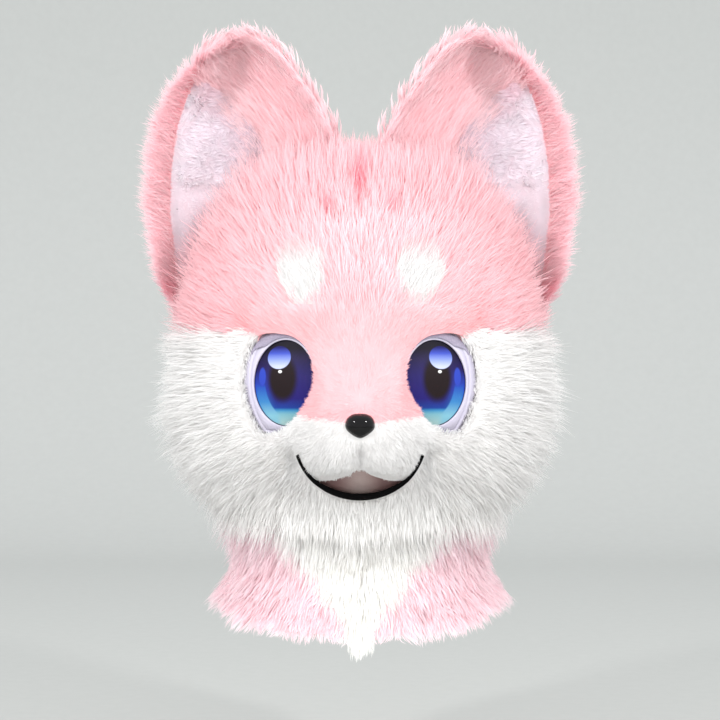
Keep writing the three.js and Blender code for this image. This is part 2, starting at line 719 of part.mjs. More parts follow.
const earInner = column(EAR_OUTLINE, "inner");
const earOuter = column(EAR_OUTLINE, "outer");
const EAR_COLUMNS = 8;
const EAR_ROWS = 7;
const LINING_COLUMNS = [3, 7]; // the lining lies between these of the ear's columns and rows
const LINING_ROWS = [1, 6];
const acrossColumn = (i) => -1 + (2 * i) / EAR_COLUMNS;
const EAR_FUR_EDGE = acrossColumn(LINING_COLUMNS[0]);
const EAR_TURN = 0.3; // how much further forward the inner edge stands, as a share of the cup

function earPoint(up, across) {
  const half = (earOuter(up) - earInner(up)) / 2;
  const middle = (earOuter(up) + earInner(up)) / 2;
  const cup = EAR_CUP_DEPTH * Math.min(1, half / 60) * (1 - across * across);
  const turn = EAR_TURN * EAR_CUP_DEPTH * across * Math.min(1, half / 60);
  return new THREE.Vector3(
    middle + half * across,
    EAR_EDGE_Y + cup + turn,
    EAR_FOOT_Z + (EAR_TIP_Z - EAR_FOOT_Z) * up,
  );
}

// The way out of the cup's hollow side, towards the front.
function earNormal(up, across) {
  const step = 0.02;
  const along = earPoint(Math.min(1, up + step), across).sub(earPoint(Math.max(0, up - step), across));
  const over = earPoint(up, across + step).sub(earPoint(up, across - step));
  return over.cross(along).normalize();
}

// A sheet bent over the ear's cup, between two of its columns and two of its rows, from front to
// back of it at two distances along its normal.
function earSheet(columns, rows, front, back) {
  const places = [];
  for (let i = columns[0]; i <= columns[1]; i++) places.push(acrossColumn(i));
  const section = new THREE.Shape([
    ...places.map((across) => new THREE.Vector2(across, 0)),
    ...places.toReversed().map((across) => new THREE.Vector2(across, 1)),
  ]);
  const options = { depth: rows[1] - rows[0], steps: rows[1] - rows[0], bevelEnabled: false };
  return solidOf(
    reshape(new THREE.ExtrudeGeometry(section, options), ({ x: across, y: layer, z: row }) => {
      const up = (rows[0] + row) / EAR_ROWS;
      const depth = layer < 0.5 ? front(across) : back(across);
      return earPoint(up, across).addScaledVector(earNormal(up, across), depth);
    }),
  );
}

const earFront = (across) => {
  const fur = 1 - THREE.MathUtils.smoothstep(across, EAR_FUR_EDGE - 0.15, EAR_FUR_EDGE);
  return EAR_WALL / 2 + Math.abs(across) ** 8 * EAR_RIM_ROLL + fur * EAR_FRONT_FUR;
};

function earLocks(grow) {
  return EAR_LOCK_ROWS.flatMap((row, rowNumber) =>
    rowPlaces(row, rowNumber).map(({ place, ...size }) => {
      const inside = earNormal(place, row.across);
      const step = 0.02;
      const upward = earPoint(place + step, row.across).sub(earPoint(place - step, row.across));
      const outward = earPoint(place, row.across + step).sub(earPoint(place, row.across - step));
      upward.normalize();
      outward.normalize().multiplyScalar(Math.sign(row.across));
      const edge = Math.abs(row.across) > 0.85;
      const normal = edge ? outward.clone().addScaledVector(inside, -0.4) : inside.clone().negate();
      normal.normalize();
      const flow = upward.addScaledVector(normal, -upward.dot(normal)).normalize();
      const root = earPoint(place, row.across).addScaledVector(inside, edge ? 0 : -EAR_WALL * 0.7);
      const thin = { halfWidth: size.halfWidth * EAR_LOCK_SHARE, halfThickness: EAR_LOCK_HALF_THICKNESS };
      return lock({ root, normal, flow, ...size, ...thin, lift: 1 - row.lean / 2, grow });
    }),
  );
}

const earBack = (across) => -EAR_WALL / 2 - (Math.abs(across) ** 8 * EAR_RIM_ROLL) / 2;

function ear(grow = 0) {
  const cup = earSheet(
    [0, EAR_COLUMNS],
    [0, EAR_ROWS],
    (across) => earFront(across) + grow,
    (across) => earBack(across) - grow,
  );
  const skull = headForm((way) => pileDepth(way) + CLEARANCE - grow);
  return join([cup, ...earLocks(grow)]).subtract(skull);
}

function earLining(grow = 0) {
  const sheet = earSheet(
    LINING_COLUMNS,
    LINING_ROWS,
    (across) => earFront(across) + CLEARANCE + LINING_THICKNESS + grow,
    (across) => earFront(across) - EAR_WALL / 2,
  ).subtract(ear(CLEARANCE - grow));
  return sheet.subtract(headForm((way) => pileDepth(way) + CLEARANCE));
}

// The collar's lower edge in the front view: a bow across the breast, with a small point
function collarEdge(lift) {
  const wide = THROUGH / 2;
  const [side, front, point] = [COLLAR_SIDE_Z, COLLAR_FRONT_Z, COLLAR_BOTTOM_Z].map((z) => z + lift);
  const shoulder = COLLAR_HALF_WIDTH * 0.92;
  const tip = BIB_TIP_HALF_WIDTH;
  const shape = new THREE.Shape();
  shape.moveTo(-wide, wide);
  shape.lineTo(-wide, side);
  shape.lineTo(-shoulder, side);
  shape.bezierCurveTo(-shoulder * 0.85, front, -shoulder * 0.5, front, -tip, front);
  shape.lineTo(0, point);
  shape.lineTo(tip, front);
  shape.bezierCurveTo(shoulder * 0.5, front, shoulder * 0.85, front, shoulder, side);
  shape.lineTo(wide, side);
  shape.lineTo(wide, wide);
  return shape;
}

const aboveEdge = (lift) => throughFront(collarEdge(lift), -THROUGH, THROUGH);

function bibOutline(grow = 0) {
  const [top, tip] = [BIB_TOP_HALF_WIDTH + grow, BIB_TIP_HALF_WIDTH + grow];
  const fullZ = COLLAR_TOP_Z - BIB_SHOULDER;
  const narrowZ = COLLAR_SIDE_Z + BIB_NARROW_ABOVE;
  const endZ = COLLAR_BOTTOM_Z - BIB_RUN_OUT;
  const shape = new THREE.Shape();
  shape.moveTo(-top, 0);
  shape.lineTo(-top, fullZ);
  shape.quadraticCurveTo(-tip * 1.6, narrowZ, -tip, endZ);
  shape.lineTo(tip, endZ);
  shape.quadraticCurveTo(tip * 1.6, narrowZ, top, fullZ);
  shape.lineTo(top, 0);
  return shape;
}

const COLLAR_LOCK_LIFT = 0.4;

function collarLocks(rows, grow) {
  return rows.flatMap((row, rowNumber) =>
    rowPlaces(row, rowNumber).map(({ place, ...size }) => {
      const azimuth = radians(place);
      const surface = (turn, level) => collarPoint(turn, level, BACKING + COLLAR_FUR);
      const root = surface(azimuth, row.level);
      const flow = surface(azimuth, row.level + 0.05).sub(root).normalize();
      const side = surface(azimuth + 0.05, row.level).sub(root).normalize();
      const normal = new THREE.Vector3().crossVectors(flow, side).normalize();
      return lock({ root, normal, flow, ...size, lift: COLLAR_LOCK_LIFT, grow });
    }),
  );
}

const bibRegion = (grow) => frontOf(bibOutline(grow));
const collarCloth = () => {
  const cloth = collarSolid(BACKING).subtract(collarSolid(0));
  return cloth.intersect(aboveEdge(0));
};

// Fur round the collar, with its locks, and its cloth's room cut out of it
function furRound(panel, rows, grow) {
  return join([panel, ...collarLocks(rows, grow)]).subtract(collarRoom);
}

const furColumn = () => collarSolid(BACKING + COLLAR_FUR).intersect(aboveEdge(COLLAR_HEM));
const bib = (grow = 0) => furRound(furColumn().intersect(bibRegion(grow)), BIB_LOCK_ROWS, grow);
const collarFur = () => {
  const fur = furRound(furColumn(), COLLAR_LOCK_ROWS, 0);
  return fur.subtract(bibRegion(CLEARANCE)).subtract(bib(CLEARANCE));
};

// Nose, lip and mouth

function nose() {
  const seat = facePoint(0, NOSE_Z);
  const ball = new THREE.SphereGeometry(1, 14, 9).rotateX(Math.PI / 2);
  const form = reshape(ball, ({ x, y, z }) => {
    const taper = z > 0 ? 1 - 0.12 * z * z : 1 + 0.62 * z; // wide above, pointed below
    return new THREE.Vector3(
      (x * taper * NOSE_WIDTH) / 2,
      y * NOSE_PROUD * 1.5 + seat.y,
      (z * NOSE_HEIGHT) / 2 + NOSE_Z,
    );
  });
  return solidOf(form).subtract(headForm(() => CLEARANCE));
}

const noseSocket = (() => {
  const wide = NOSE_WIDTH / 2 + CLEARANCE * 2;
  return throughFront(ellipse(0, NOSE_Z, wide, NOSE_HEIGHT / 2 + CLEARANCE * 2), -THROUGH, 0);
})();

function lipBand() {
  const crescent = frontOf(lipBandOutline());
  const outside = headForm(() => LIP_BAND_PROUD + CLEARANCE);
  return crescent.intersect(outside).subtract(headForm(() => CLEARANCE));
}

function mouthMesh() {
  const outline = throughFront(mouthOutline(LIP_BOTTOM_Z + LIP_BAND + CLEARANCE), -THROUGH, 0);
  const outside = headForm(() => -MOUTH_MESH_SUNK);
  const inside = headForm(() => -MOUTH_MESH_SUNK - MOUTH_MESH_THICKNESS);
  return outline.intersect(outside).subtract(inside);
}

// Assembly

const mirrorX = new THREE.Matrix4().makeScale(-1, 1, 1);
const onSide = (solid, side) => (side > 0 ? solid : placed(solid, mirrorX));
const earRoom = join([ear(CLEARANCE), earLining(CLEARANCE)]);
const cheekRoom = join([cheek(1, CLEARANCE), cheek(-1, CLEARANCE)]);
const crownRoom = join([cheekRoom, earRoom, onSide(earRoom, -1)]);
const lips = frontOf(lipBandOutline(CLEARANCE));

const head = new THREE.Group();
head.add(meshOf("head_base", headBase(), FOAM));
head.add(meshOf("crown_fur", crown().subtract(crownRoom), PINK));
head.add(meshOf("bridge_fur", bridge().subtract(noseSocket), PINK));
head.add(meshOf("muzzle_fur", muzzle().subtract(noseSocket).subtract(lips), WHITE));
head.add(meshOf("jaw_fur", jaw().subtract(cheekRoom).subtract(lips), WHITE));
for (const [label, side] of [["left", 1], ["right", -1]]) {
  head.add(meshOf("cheek_fur_" + label, cheek(side), WHITE));
  head.add(meshOf("brow_spot_" + label, browSpot(side), WHITE));
  head.add(meshOf("ear_" + label, onSide(ear(), side), DEEP_PINK));
  head.add(meshOf("ear_lining_" + label, onSide(earLining(), side), LINING_WHITE));
  head.add(meshOf("eye_white_" + label, placed(eyeWhite(), eyePlace(side)), EYE_WHITE, 0.35));
  head.add(meshOf("iris_" + label, placed(iris(), eyePlace(side)), IRIS_BLUE, 0.5));
  head.add(meshOf("eyelid_" + label, placed(eyelid(), eyePlace(side)), LID_LILAC, 0.6));
}
head.add(meshOf("nose", nose(), BLACK, 0.15));
head.add(meshOf("lip_band", lipBand(), BLACK, 0.5));
head.add(meshOf("mouth_mesh", mouthMesh(), MOUTH_BROWN, 0.8));
head.add(meshOf("collar_cloth", collarCloth(), WHITE));
head.add(meshOf("collar_fur", collarFur(), PINK));
head.add(meshOf("bib_fur", bib().subtract(jaw(CLEARANCE)), WHITE));

export default head;
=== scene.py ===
# %% [markdown]
# # A furry costume head, dressed in Blender
#
# The frame is a solid model of the head: foam base, fur panels, ears, eyes, nose and collar. It
# already has the right size. This lesson gives it its looks: nearly two hundred thousand fine
# hairs, printed mesh eyes and a glossy nose. All the hair is made with number arrays, because loops
# over single hairs would take many minutes.

import math

import bpy
import numpy as np
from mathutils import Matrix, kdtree


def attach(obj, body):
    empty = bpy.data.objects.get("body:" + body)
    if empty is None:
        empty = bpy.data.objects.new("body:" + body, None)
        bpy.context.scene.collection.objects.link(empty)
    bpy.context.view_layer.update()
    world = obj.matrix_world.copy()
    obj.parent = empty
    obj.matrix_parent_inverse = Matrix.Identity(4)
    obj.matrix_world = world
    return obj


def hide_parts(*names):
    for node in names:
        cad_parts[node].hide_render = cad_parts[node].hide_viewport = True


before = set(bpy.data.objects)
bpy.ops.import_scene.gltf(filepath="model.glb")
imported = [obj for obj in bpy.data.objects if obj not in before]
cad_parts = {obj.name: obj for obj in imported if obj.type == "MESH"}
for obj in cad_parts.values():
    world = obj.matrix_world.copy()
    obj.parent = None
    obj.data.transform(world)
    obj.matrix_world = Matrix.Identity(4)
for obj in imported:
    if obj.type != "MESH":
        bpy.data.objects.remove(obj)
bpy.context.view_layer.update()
MM = 0.001

# %% [markdown]
# ## The camera
#
# The head is seen straight on, from its own height, and both ears look alike, so the camera is
# level and in the middle. A long lens from two metres away gives the flat look of a shop picture.
# The lens follows from the width that has to fit in the square image.

# %% Camera
CAMERA_DISTANCE = 2.0
VIEW_WIDTH = 0.648  # what the image shows across, at the middle of the head
VIEW_HEIGHT_Z = -0.115  # the level that is in the middle of the image
SENSOR = 36.0

camera_data = bpy.data.cameras.new("camera")
camera_data.sensor_width = SENSOR
camera_data.lens = SENSOR * CAMERA_DISTANCE / VIEW_WIDTH
camera = bpy.data.objects.new("camera", camera_data)
camera.location = (0, -CAMERA_DISTANCE, VIEW_HEIGHT_Z)
camera.rotation_euler = (math.radians(90), 0, 0)
bpy.context.scene.collection.objects.link(camera)
bpy.context.scene.camera = camera
print("lens", round(camera_data.lens, 1), "mm")

# %% [markdown]
# ## Helpers for arrays
#
# Each helper takes whole arrays. A smooth step makes soft borders, and the part of a direction
# that lies along a surface is what combs hair over it.

# %% Array helpers
def smooth(value, low, high):
    share = np.clip((value - low) / (high - low), 0, 1)
    return share * share * (3 - 2 * share)


def unit(vectors):
    return vectors / np.maximum(np.linalg.norm(vectors, axis=-1, keepdims=True), 1e-12)


def along_surface(vectors, normals):
    return unit(vectors - (vectors * normals).sum(-1, keepdims=True) * normals)


def column(table, key, value):
    """Reads a column of a table at any level, on straight lines between its rows."""
    return np.interp(value, [row["level"] for row in table], [row[key] for row in table])


def srgb(red, green, blue):
    """A colour as a paint program shows it, turned into the linear light that Blender mixes."""
    share = np.array([red, green, blue]) / 255
    return np.where(share <= 0.04045, share / 12.92, ((share + 0.055) / 1.055) ** 2.4)


def grid(down, across):
    """Two tables that pair every value down with every value across."""
    return np.meshgrid(down, across, indexing="ij")


def quads(rows, columns, closed=False):
    """The four corners of each cell of a grid of points that is stored row by row."""
    i, j = grid(np.arange(rows - 1), np.arange(columns - (not closed)))
    a, b = i * columns + j, i * columns + (j + 1) % columns
    return np.stack([a, b, b + columns, a + columns], -1).reshape(-1, 4)


print("a smooth step half way:", smooth(0.5, 0, 1))

# %% [markdown]
# ## From arrays to a Blender mesh
#
# `foreach_set` copies an array into a mesh in one go. A hair mesh also brings normals of its own,
# a colour for every point and a flat map, in which each hair has a small cell to itself, with room
# for its colour from root to tip.

# %% Mesh builder
def build(name, points, faces, material, node, tint=None, normals=None, uv=None):
    """Makes an object from points and arrays of faces, and ties it to the frame."""
    mesh = bpy.data.meshes.new(name)
    corners = np.concatenate([f.ravel() for f in faces]).astype(np.int32)
    sizes = np.concatenate([np.full(len(f), f.shape[1]) for f in faces])
    mesh.vertices.add(len(points))
    mesh.vertices.foreach_set("co", np.ascontiguousarray(points, np.float32).ravel())
    mesh.loops.add(len(corners))
    mesh.loops.foreach_set("vertex_index", corners)
    mesh.polygons.add(len(sizes))
    mesh.polygons.foreach_set("loop_start", (np.cumsum(sizes) - sizes).astype(np.int32))
    if tint is not None:
        layer = mesh.color_attributes.new("tint", "FLOAT_COLOR", "POINT")
        layer.data.foreach_set("color", np.c_[tint, np.ones(len(tint))].astype(np.float32).ravel())
    if uv is not None:
        layer = mesh.uv_layers.new(name="OFBake")
        layer.data.foreach_set("uv", uv[corners].astype(np.float32).ravel())
    mesh.update(calc_edges=True)
    mesh.shade_smooth()
    if normals is not None:
        mesh.normals_split_custom_set_from_vertices(normals.tolist())
    mesh.materials.append(material)
    piece = bpy.data.objects.new(name, mesh)
    bpy.context.scene.collection.objects.link(piece)
    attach(piece, "root")
    if node:
        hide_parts(node)
    triangles = int((sizes - 2).sum())
    TRIANGLES[name] = triangles
    print(name, triangles, "triangles")
    return piece


TRIANGLES = {}

# %% [markdown]
# ## The form of the head
#
# The foam is a squarish ball with swellings for bridge, muzzle, chin, cheeks and brow, in the same
# sizes as the frame. As a function it gives a point and a normal anywhere, so hair can be rooted
# all over it. Azimuth is counted in degrees from straight ahead, elevation from level.

# %% Head form
HEAD_CENTRE = np.array([0, 0, -0.105])
HEAD_HALF_WIDTH = 0.143
HEAD_FRONT = 0.126
HEAD_BACK = 0.148
HEAD_TOP = 0.163
HEAD_BOTTOM = 0.152
HEAD_FLAT_BOTTOM_Z = -0.243
CROWN_ROUNDNESS = 2
JAW_ROUNDNESS = 3
SWELLINGS = [
    {"part": "bridge", "azimuth": 0, "elevation": -17, "wide": 17, "tall": 15, "height": 0.026},
    {"part": "muzzle", "azimuth": 0, "elevation": -30, "wide": 27, "tall": 15, "height": 0.036},
    {"part": "chin", "azimuth": 0, "elevation": -45, "wide": 24, "tall": 9, "height": 0.007},
    {"part": "cheek", "azimuth": 52, "elevation": -30, "wide": 26, "tall": 20, "height": 0.007},
    {"part": "brow", "azimuth": 24, "elevation": 12, "wide": 16, "tall": 10, "height": 0.004},
]


def angles(way):
    azimuth = np.degrees(np.arctan2(way[..., 0], -way[..., 1]))
    return azimuth, np.degrees(np.arcsin(np.clip(way[..., 2], -1, 1)))


def patch(way, azimuth, elevation, wide, tall):
    """1 in the middle of a patch, falling to 0 round it, alike on both sides."""
    across, up = angles(way)
    return np.exp(-(((np.abs(across) - azimuth) / wide) ** 2) - ((up - elevation) / tall) ** 2)


def foam_radius(way):
    depth = np.where(way[..., 1] < 0, HEAD_FRONT, HEAD_BACK)
    high = way[..., 2] > 0
    power = np.where(high, CROWN_ROUNDNESS, JAW_ROUNDNESS)
    level = np.hypot(way[..., 0] / HEAD_HALF_WIDTH, way[..., 1] / depth)
    upright = np.abs(way[..., 2]) / np.where(high, HEAD_TOP, HEAD_BOTTOM)
    radius = (level**power + upright**power) ** (-1 / power)
    for row in SWELLINGS:
        place = [row[key] for key in ("azimuth", "elevation", "wide", "tall")]
        radius = radius + row["height"] * patch(way, *place)
    return radius


front_reach = foam_radius(np.array([0.0, -1.0, 0.0]))
print("foam ahead of the middle:", round(float(front_reach) / MM, 1), "mm")

# %% [markdown]
# ## Relief of the face
#
# Under the hair lies the skin, the backing of the fur fabric. It follows the foam, thick where the
# pile is long, with the soft forms that show through short fur: two full lobes over the mouth, the
# groove below the nose, and a dimple at each corner of the smile.

# %% Skin of the head
LONG_PILE_SKIN = 0.007  # the skin stands this far off the foam under long fur
SHORT_PILE_SHARE = 0.62  # how much of that goes where the face is shaved short
RELIEF = [
    {"part": "lobe", "x": 0.027, "z": -0.201, "wide": 0.020, "tall": 0.014, "height": 0.0050},
    {"part": "groove", "x": 0.0, "z": -0.193, "wide": 0.0032, "tall": 0.011, "height": -0.0035},
    {"part": "dimple", "x": 0.057, "z": -0.197, "wide": 0.008, "tall": 0.011, "height": -0.0030},
    {"part": "eye corner", "x": 0.030, "z": -0.128, "wide": 0.010, "tall": 0.030, "height": 0.0030},
]


def way_to(points):
    return unit(points - HEAD_CENTRE)


def skin_radius(way):
    short = SHORT_PILE_SHARE * patch(way, 0, -20, 36, 26)
    radius = foam_radius(way) + LONG_PILE_SKIN * (1 - short)
    x, z = np.abs(way[..., 0]) * radius, way[..., 2] * radius + HEAD_CENTRE[2]
    front = smooth(-way[..., 1], 0.2, 0.5)
    for row in RELIEF:
        across, up = (x - row["x"]) / row["wide"], (z - row["z"]) / row["tall"]
        radius = radius + front * row["height"] * np.exp(-(across**2) - up**2)
    return radius


def skin_normal(points, step=0.0008):
    """The way out of the skin, from how fast the height above it changes in x, y and z."""
    slope = []
    for axis in np.eye(3) * step:
        ahead, behind = points + axis, points - axis
        rise = np.linalg.norm(ahead - HEAD_CENTRE, axis=-1) - skin_radius(way_to(ahead))
        fall = np.linalg.norm(behind - HEAD_CENTRE, axis=-1) - skin_radius(way_to(behind))
        slope.append(rise - fall)
    return unit(np.stack(slope, -1))


def face_point(x, z, radius=skin_radius, offset=0.0):
    """The point of the head that the front view shows at x and z."""
    x, z = np.broadcast_arrays(np.asarray(x, float), np.asarray(z, float))
    y = np.full(x.shape, -HEAD_FRONT)
    for _ in range(30):
        points = np.stack([x, y, z], -1)
        way = way_to(points)
        gap = radius(way) + offset - np.linalg.norm(points - HEAD_CENTRE, axis=-1)
        y = y - gap / np.maximum(0.5, -way[..., 1])
    return np.stack([x, y, z], -1)


print("nose seat at", np.round(face_point(0, -0.169) / MM, 1), "mm")

# %% [markdown]
# ## Openings
#
# The skin has three openings: two eyes and the mouth. Their outlines are closed lines in a flat
# view, the eyes' in the plane of each eye. On its inner side the fur reaches over the eye, so the
# opening is smaller there than the bowl.

# %% Eye frame
EYE_X = 0.066
EYE_Z = -0.1345
EYE_YAW = math.radians(21)
EYE_HALF_WIDTH = 0.032
EYE_HALF_HEIGHT = 0.041
EYE_PROUD = 0.005
EYE_DOME_RADIUS = 0.105
EYE_SEAT = face_point(EYE_X, EYE_Z, foam_radius, EYE_PROUD)
# The bowl's outline as smooth arcs: start, two handles and end, as shares of its half size
EYE_ARCS = [
    [(-1, 0), (-1, 0.62), (-0.55, 1), (0, 1)],
    [(0, 1), (0.5, 1), (0.84, 0.9), (0.95, 0.45)],
    [(0.95, 0.45), (1.06, 0), (0.98, -0.55), (0.62, -1)],
    [(0.62, -1), (0.3, -1.06), (-0.2, -1.02), (-0.45, -0.86)],
    [(-0.45, -0.86), (-0.8, -0.6), (-1, -0.4), (-1, 0)],
]
# How much of the bowl the fur leaves open, by the angle seen from its middle: 0 is outwards
EYE_OPENING = [
    {"level": 0, "open": 1.16},
    {"level": 60, "open": 1.10},
    {"level": 90, "open": 1.01},
    {"level": 120, "open": 0.98},
    {"level": 150, "open": 1.02},
    {"level": 185, "open": 1.02},
    {"level": 222, "open": 0.89},
    {"level": 250, "open": 0.95},
    {"level": 285, "open": 1.01},
    {"level": 320, "open": 1.11},
    {"level": 360, "open": 1.16},
]


def arc(handles, steps=40):
    t = np.linspace(0, 1, steps, endpoint=False)[:, None]
    a, b, c, d = (np.array(p) for p in handles)
    return a * (1 - t) ** 3 + 3 * b * t * (1 - t) ** 2 + 3 * c * t**2 * (1 - t) + d * t**3


EYE_OUTLINE = np.concatenate([arc(a) for a in EYE_ARCS]) * [EYE_HALF_WIDTH, EYE_HALF_HEIGHT]


def eye_reach(angle):
    """How far the bowl's outline is from its middle, at an angle in degrees."""
    outline = np.degrees(np.arctan2(EYE_OUTLINE[:, 1], EYE_OUTLINE[:, 0])) % 360
    order = np.argsort(outline)
    return np.interp(angle % 360, outline[order], np.linalg.norm(EYE_OUTLINE, axis=1)[order], period=360)


def from_eye(points, side):
    """Moves points from an eye's own frame into the head: x outwards, z up, y to the back."""
    x, y, z = np.moveaxis(np.asarray(points, float), -1, 0)
    cos, sin = math.cos(EYE_YAW), math.sin(EYE_YAW)
    placed = np.stack([x * cos - y * sin, x * sin + y * cos, z], -1) + EYE_SEAT
    return placed * [side, 1, 1]


def to_eye(points):
    x, y, z = np.moveaxis(points, -1, 0)
    x, y, z = np.abs(x) - EYE_SEAT[0], y - EYE_SEAT[1], z - EYE_SEAT[2]
    cos, sin = math.cos(EYE_YAW), math.sin(EYE_YAW)
    return np.stack([x * cos + y * sin, -x * sin + y * cos, z], -1)


def eye_level(points):
    """Below 1 inside the eye's opening in the fur, above 1 outside it."""
    x, y, z = np.moveaxis(to_eye(points), -1, 0)
    angle = np.degrees(np.arctan2(z, x)) % 360
    level = np.hypot(x, z) / (eye_reach(angle) * column(EYE_OPENING, "open", angle))
    return np.where(np.abs(y) < 0.06, level, 9)


print("eye seat", np.round(EYE_SEAT / MM, 1), "mm")

# %% [markdown]
# The mouth is a bow below and two lobes above, which meet in a peak under the nose. The same bow,
# wider or narrower by a margin, also gives the black lip.

# %% Mouth outline
MOUTH_CORNER_X = 0.053
MOUTH_CORNER_Z = -0.196
SMILE_FULLNESS = 0.64
LIP_BOTTOM_Z = -0.2334
LIP_BAND = 0.0062
UPPER_LIP = [
    {"level": 0.0, "z": -0.2060},
    {"level": 0.004, "z": -0.2064},
    {"level": 0.008, "z": -0.2100},
    {"level": 0.016, "z": -0.2130},
    {"level": 0.024, "z": -0.2154},
    {"level": 0.032, "z": -0.2162},
    {"level": 0.040, "z": -0.2150},
]


def smile(share, bottom_z):
    """The bow from the -x corner to the +x corner of the mouth."""
    t = np.asarray(share, float)
    control = (bottom_z - MOUTH_CORNER_Z / 4) / 0.75
    handle = MOUTH_CORNER_X * SMILE_FULLNESS
    ends, middles = (1 - t) ** 3 + t**3, 3 * t * (1 - t)
    x = MOUTH_CORNER_X * (t**3 - (1 - t) ** 3) + handle * middles * (2 * t - 1)
    return x, MOUTH_CORNER_Z * ends + control * middles


def upper_lip(x):
    """The level of the upper lip's edge: a round lobe on each side of a peak."""
    return column(UPPER_LIP, "z", np.abs(x))


def smile_level(x):
    """The level of the bow at each x, and of its ends beyond them."""
    return np.interp(x, *smile(np.linspace(0, 1, 200), LIP_BOTTOM_Z))


def in_mouth(x, z, margin=0.0):
    """Inside the opening in the fur, which also leaves the lip free."""
    inside = (z > smile_level(x) - margin) & (z < np.maximum(upper_lip(x), smile_level(x)) + margin)
    return (np.abs(x) < MOUTH_CORNER_X + margin) & inside


print("mouth open in the middle:", in_mouth(np.array(0.0), np.array(-0.22)))

# %% [markdown]
# ## A grid over the head
#
# One grid of points covers the whole head, closer together over the face. It runs from below the
# chin to the top, and is cut off level where the neck begins.

# %% Head grid
GRID_COLUMNS = 168
GRID_ROWS = 88
FACE_CROWDING = 0.34

turn = np.linspace(-math.pi, math.pi, GRID_COLUMNS, endpoint=False)
turn = turn - FACE_CROWDING * np.sin(turn)
rise = np.linspace(math.radians(-72), math.radians(89.9), GRID_ROWS)
rise_grid, turn_grid = grid(rise, turn)
ways = np.stack(
    [
        np.sin(turn_grid) * np.cos(rise_grid),
        -np.cos(turn_grid) * np.cos(rise_grid),
        np.sin(rise_grid),
    ],
    -1,
).reshape(-1, 3)
grid_points = HEAD_CENTRE + ways * skin_radius(ways)[:, None]
grid_points[:, 2] = np.maximum(grid_points[:, 2], HEAD_FLAT_BOTTOM_Z)
grid_faces = quads(GRID_ROWS, GRID_COLUMNS, closed=True)
print("grid points:", len(grid_points))

# %% [markdown]
# Fur fabric is turned in and glued down at an opening. Cells of the grid in or near an opening are
# left out, because they would make a jagged edge. A strip of skin closes the gap instead: it
# starts inside, comes up over the edge like a hem, and ends on the skin around.

# %% Rims of the openings
RIM_ROWS = 6
RIM_STEP = 0.0026
TURN_IN = 0.012
RIM_PROUD = 0.0007
MOUTH_FRONT_Y = -0.06  # the mouth lies wholly in front of this
LIP_GAP = 0.0030  # the slit that is left open for the lip where the mouth is closed


def rim(edge, outward):
    """A strip of skin round an opening, turned in at its edge. Both are arrays of x and z."""
    rows = [face_point(*edge.T, offset=-TURN_IN), face_point(*edge.T, offset=-TURN_IN / 2)]
    for step in range(RIM_ROWS):
        x, z = (edge + outward * step * RIM_STEP).T
        sink = RIM_PROUD * (1 - 2 * (step == 0) - 2 * (step == RIM_ROWS - 1))
        rows.append(face_point(x, z, offset=sink))
    return np.stack(rows)


def eye_rim(side):
    around = np.linspace(0, 360, 96, endpoint=False)
    open_reach = eye_reach(around) * column(EYE_OPENING, "open", around)
    flat = np.stack([np.cos(np.radians(around)), 0 * around, np.sin(np.radians(around))], -1)
    edge = from_eye(flat * open_reach[:, None], side)[:, [0, 2]]
    return rim(edge, (edge - edge.mean(0)) / np.linalg.norm(edge - edge.mean(0), axis=1)[:, None])


lip_x = np.linspace(-MOUTH_CORNER_X, MOUTH_CORNER_X, 90)
upper_edge = np.stack([lip_x, np.maximum(upper_lip(lip_x), smile_level(lip_x) + LIP_GAP)], -1)
lower_edge = np.stack(smile(np.linspace(0, 1, 90), LIP_BOTTOM_Z), -1)
below = lower_edge * [1, 0] + [0, LIP_BOTTOM_Z + 0.055]
strips = [
    (eye_rim(1), True),
    (eye_rim(-1), True),
    (rim(upper_edge, np.array([0.0, 1.0])), False),
    (rim(lower_edge, unit(lower_edge - below)), False),
]

eye_near = eye_level(grid_points) < 1.10
mouth_near = in_mouth(grid_points[:, 0], grid_points[:, 2], 0.0035)
mouth_near &= grid_points[:, 1] < MOUTH_FRONT_Y
mouth_near &= np.abs(grid_points[:, 0]) < MOUTH_CORNER_X - 0.006
hole = (eye_near | mouth_near)[grid_faces].any(1)
flat = (grid_points[:, 2] <= HEAD_FLAT_BOTTOM_Z + 1e-6)[grid_faces].all(1)
grid_faces = grid_faces[~hole & ~flat]
for strip, closed in strips:
    grid_faces = np.concatenate([grid_faces, quads(*strip.shape[:2], closed) + len(grid_points)])
    grid_points = np.concatenate([grid_points, strip.reshape(-1, 3)])
grid_normals = skin_normal(grid_points)
print("head grid:", len(grid_faces), "cells")

# %% [markdown]
# ## Which fur grows where
#
# White fur covers the lower face, pink fur the rest, and a pink bridge runs down between the eyes
# to the nose. Each zone is one panel of the frame. Hair roots near a border are mixed a little, as
# they are on a real one where two fabrics are brushed together over a seam.

# %% Zones
PINK_BORDER_Z = -0.092
PINK_BACK_Y = 0.040
BRIDGE_HALF_WIDTH = 0.056
BRIDGE_TOP_HALF_WIDTH = 0.087
BRIDGE_TOP_Z = -0.074
BRIDGE_END_Z = -0.1650
BROW_SPOT_X = 0.0475
BROW_SPOT_Z = -0.0450
BROW_SPOT_HALF_WIDTH = 0.0185
BROW_SPOT_HALF_HEIGHT = 0.023
MUZZLE_HALF_WIDTH = 0.060
MUZZLE_TOP_Z = -0.146
JAW_HALF_WIDTH = 0.062
BACK_Y = 0.012  # the crown is parted into a front and a back piece here
ZONES = ["crown_front", "crown_back", "bridge", "muzzle", "jaw", "cheek_left", "cheek_right"]
ZONES += ["brow_left", "brow_right"]


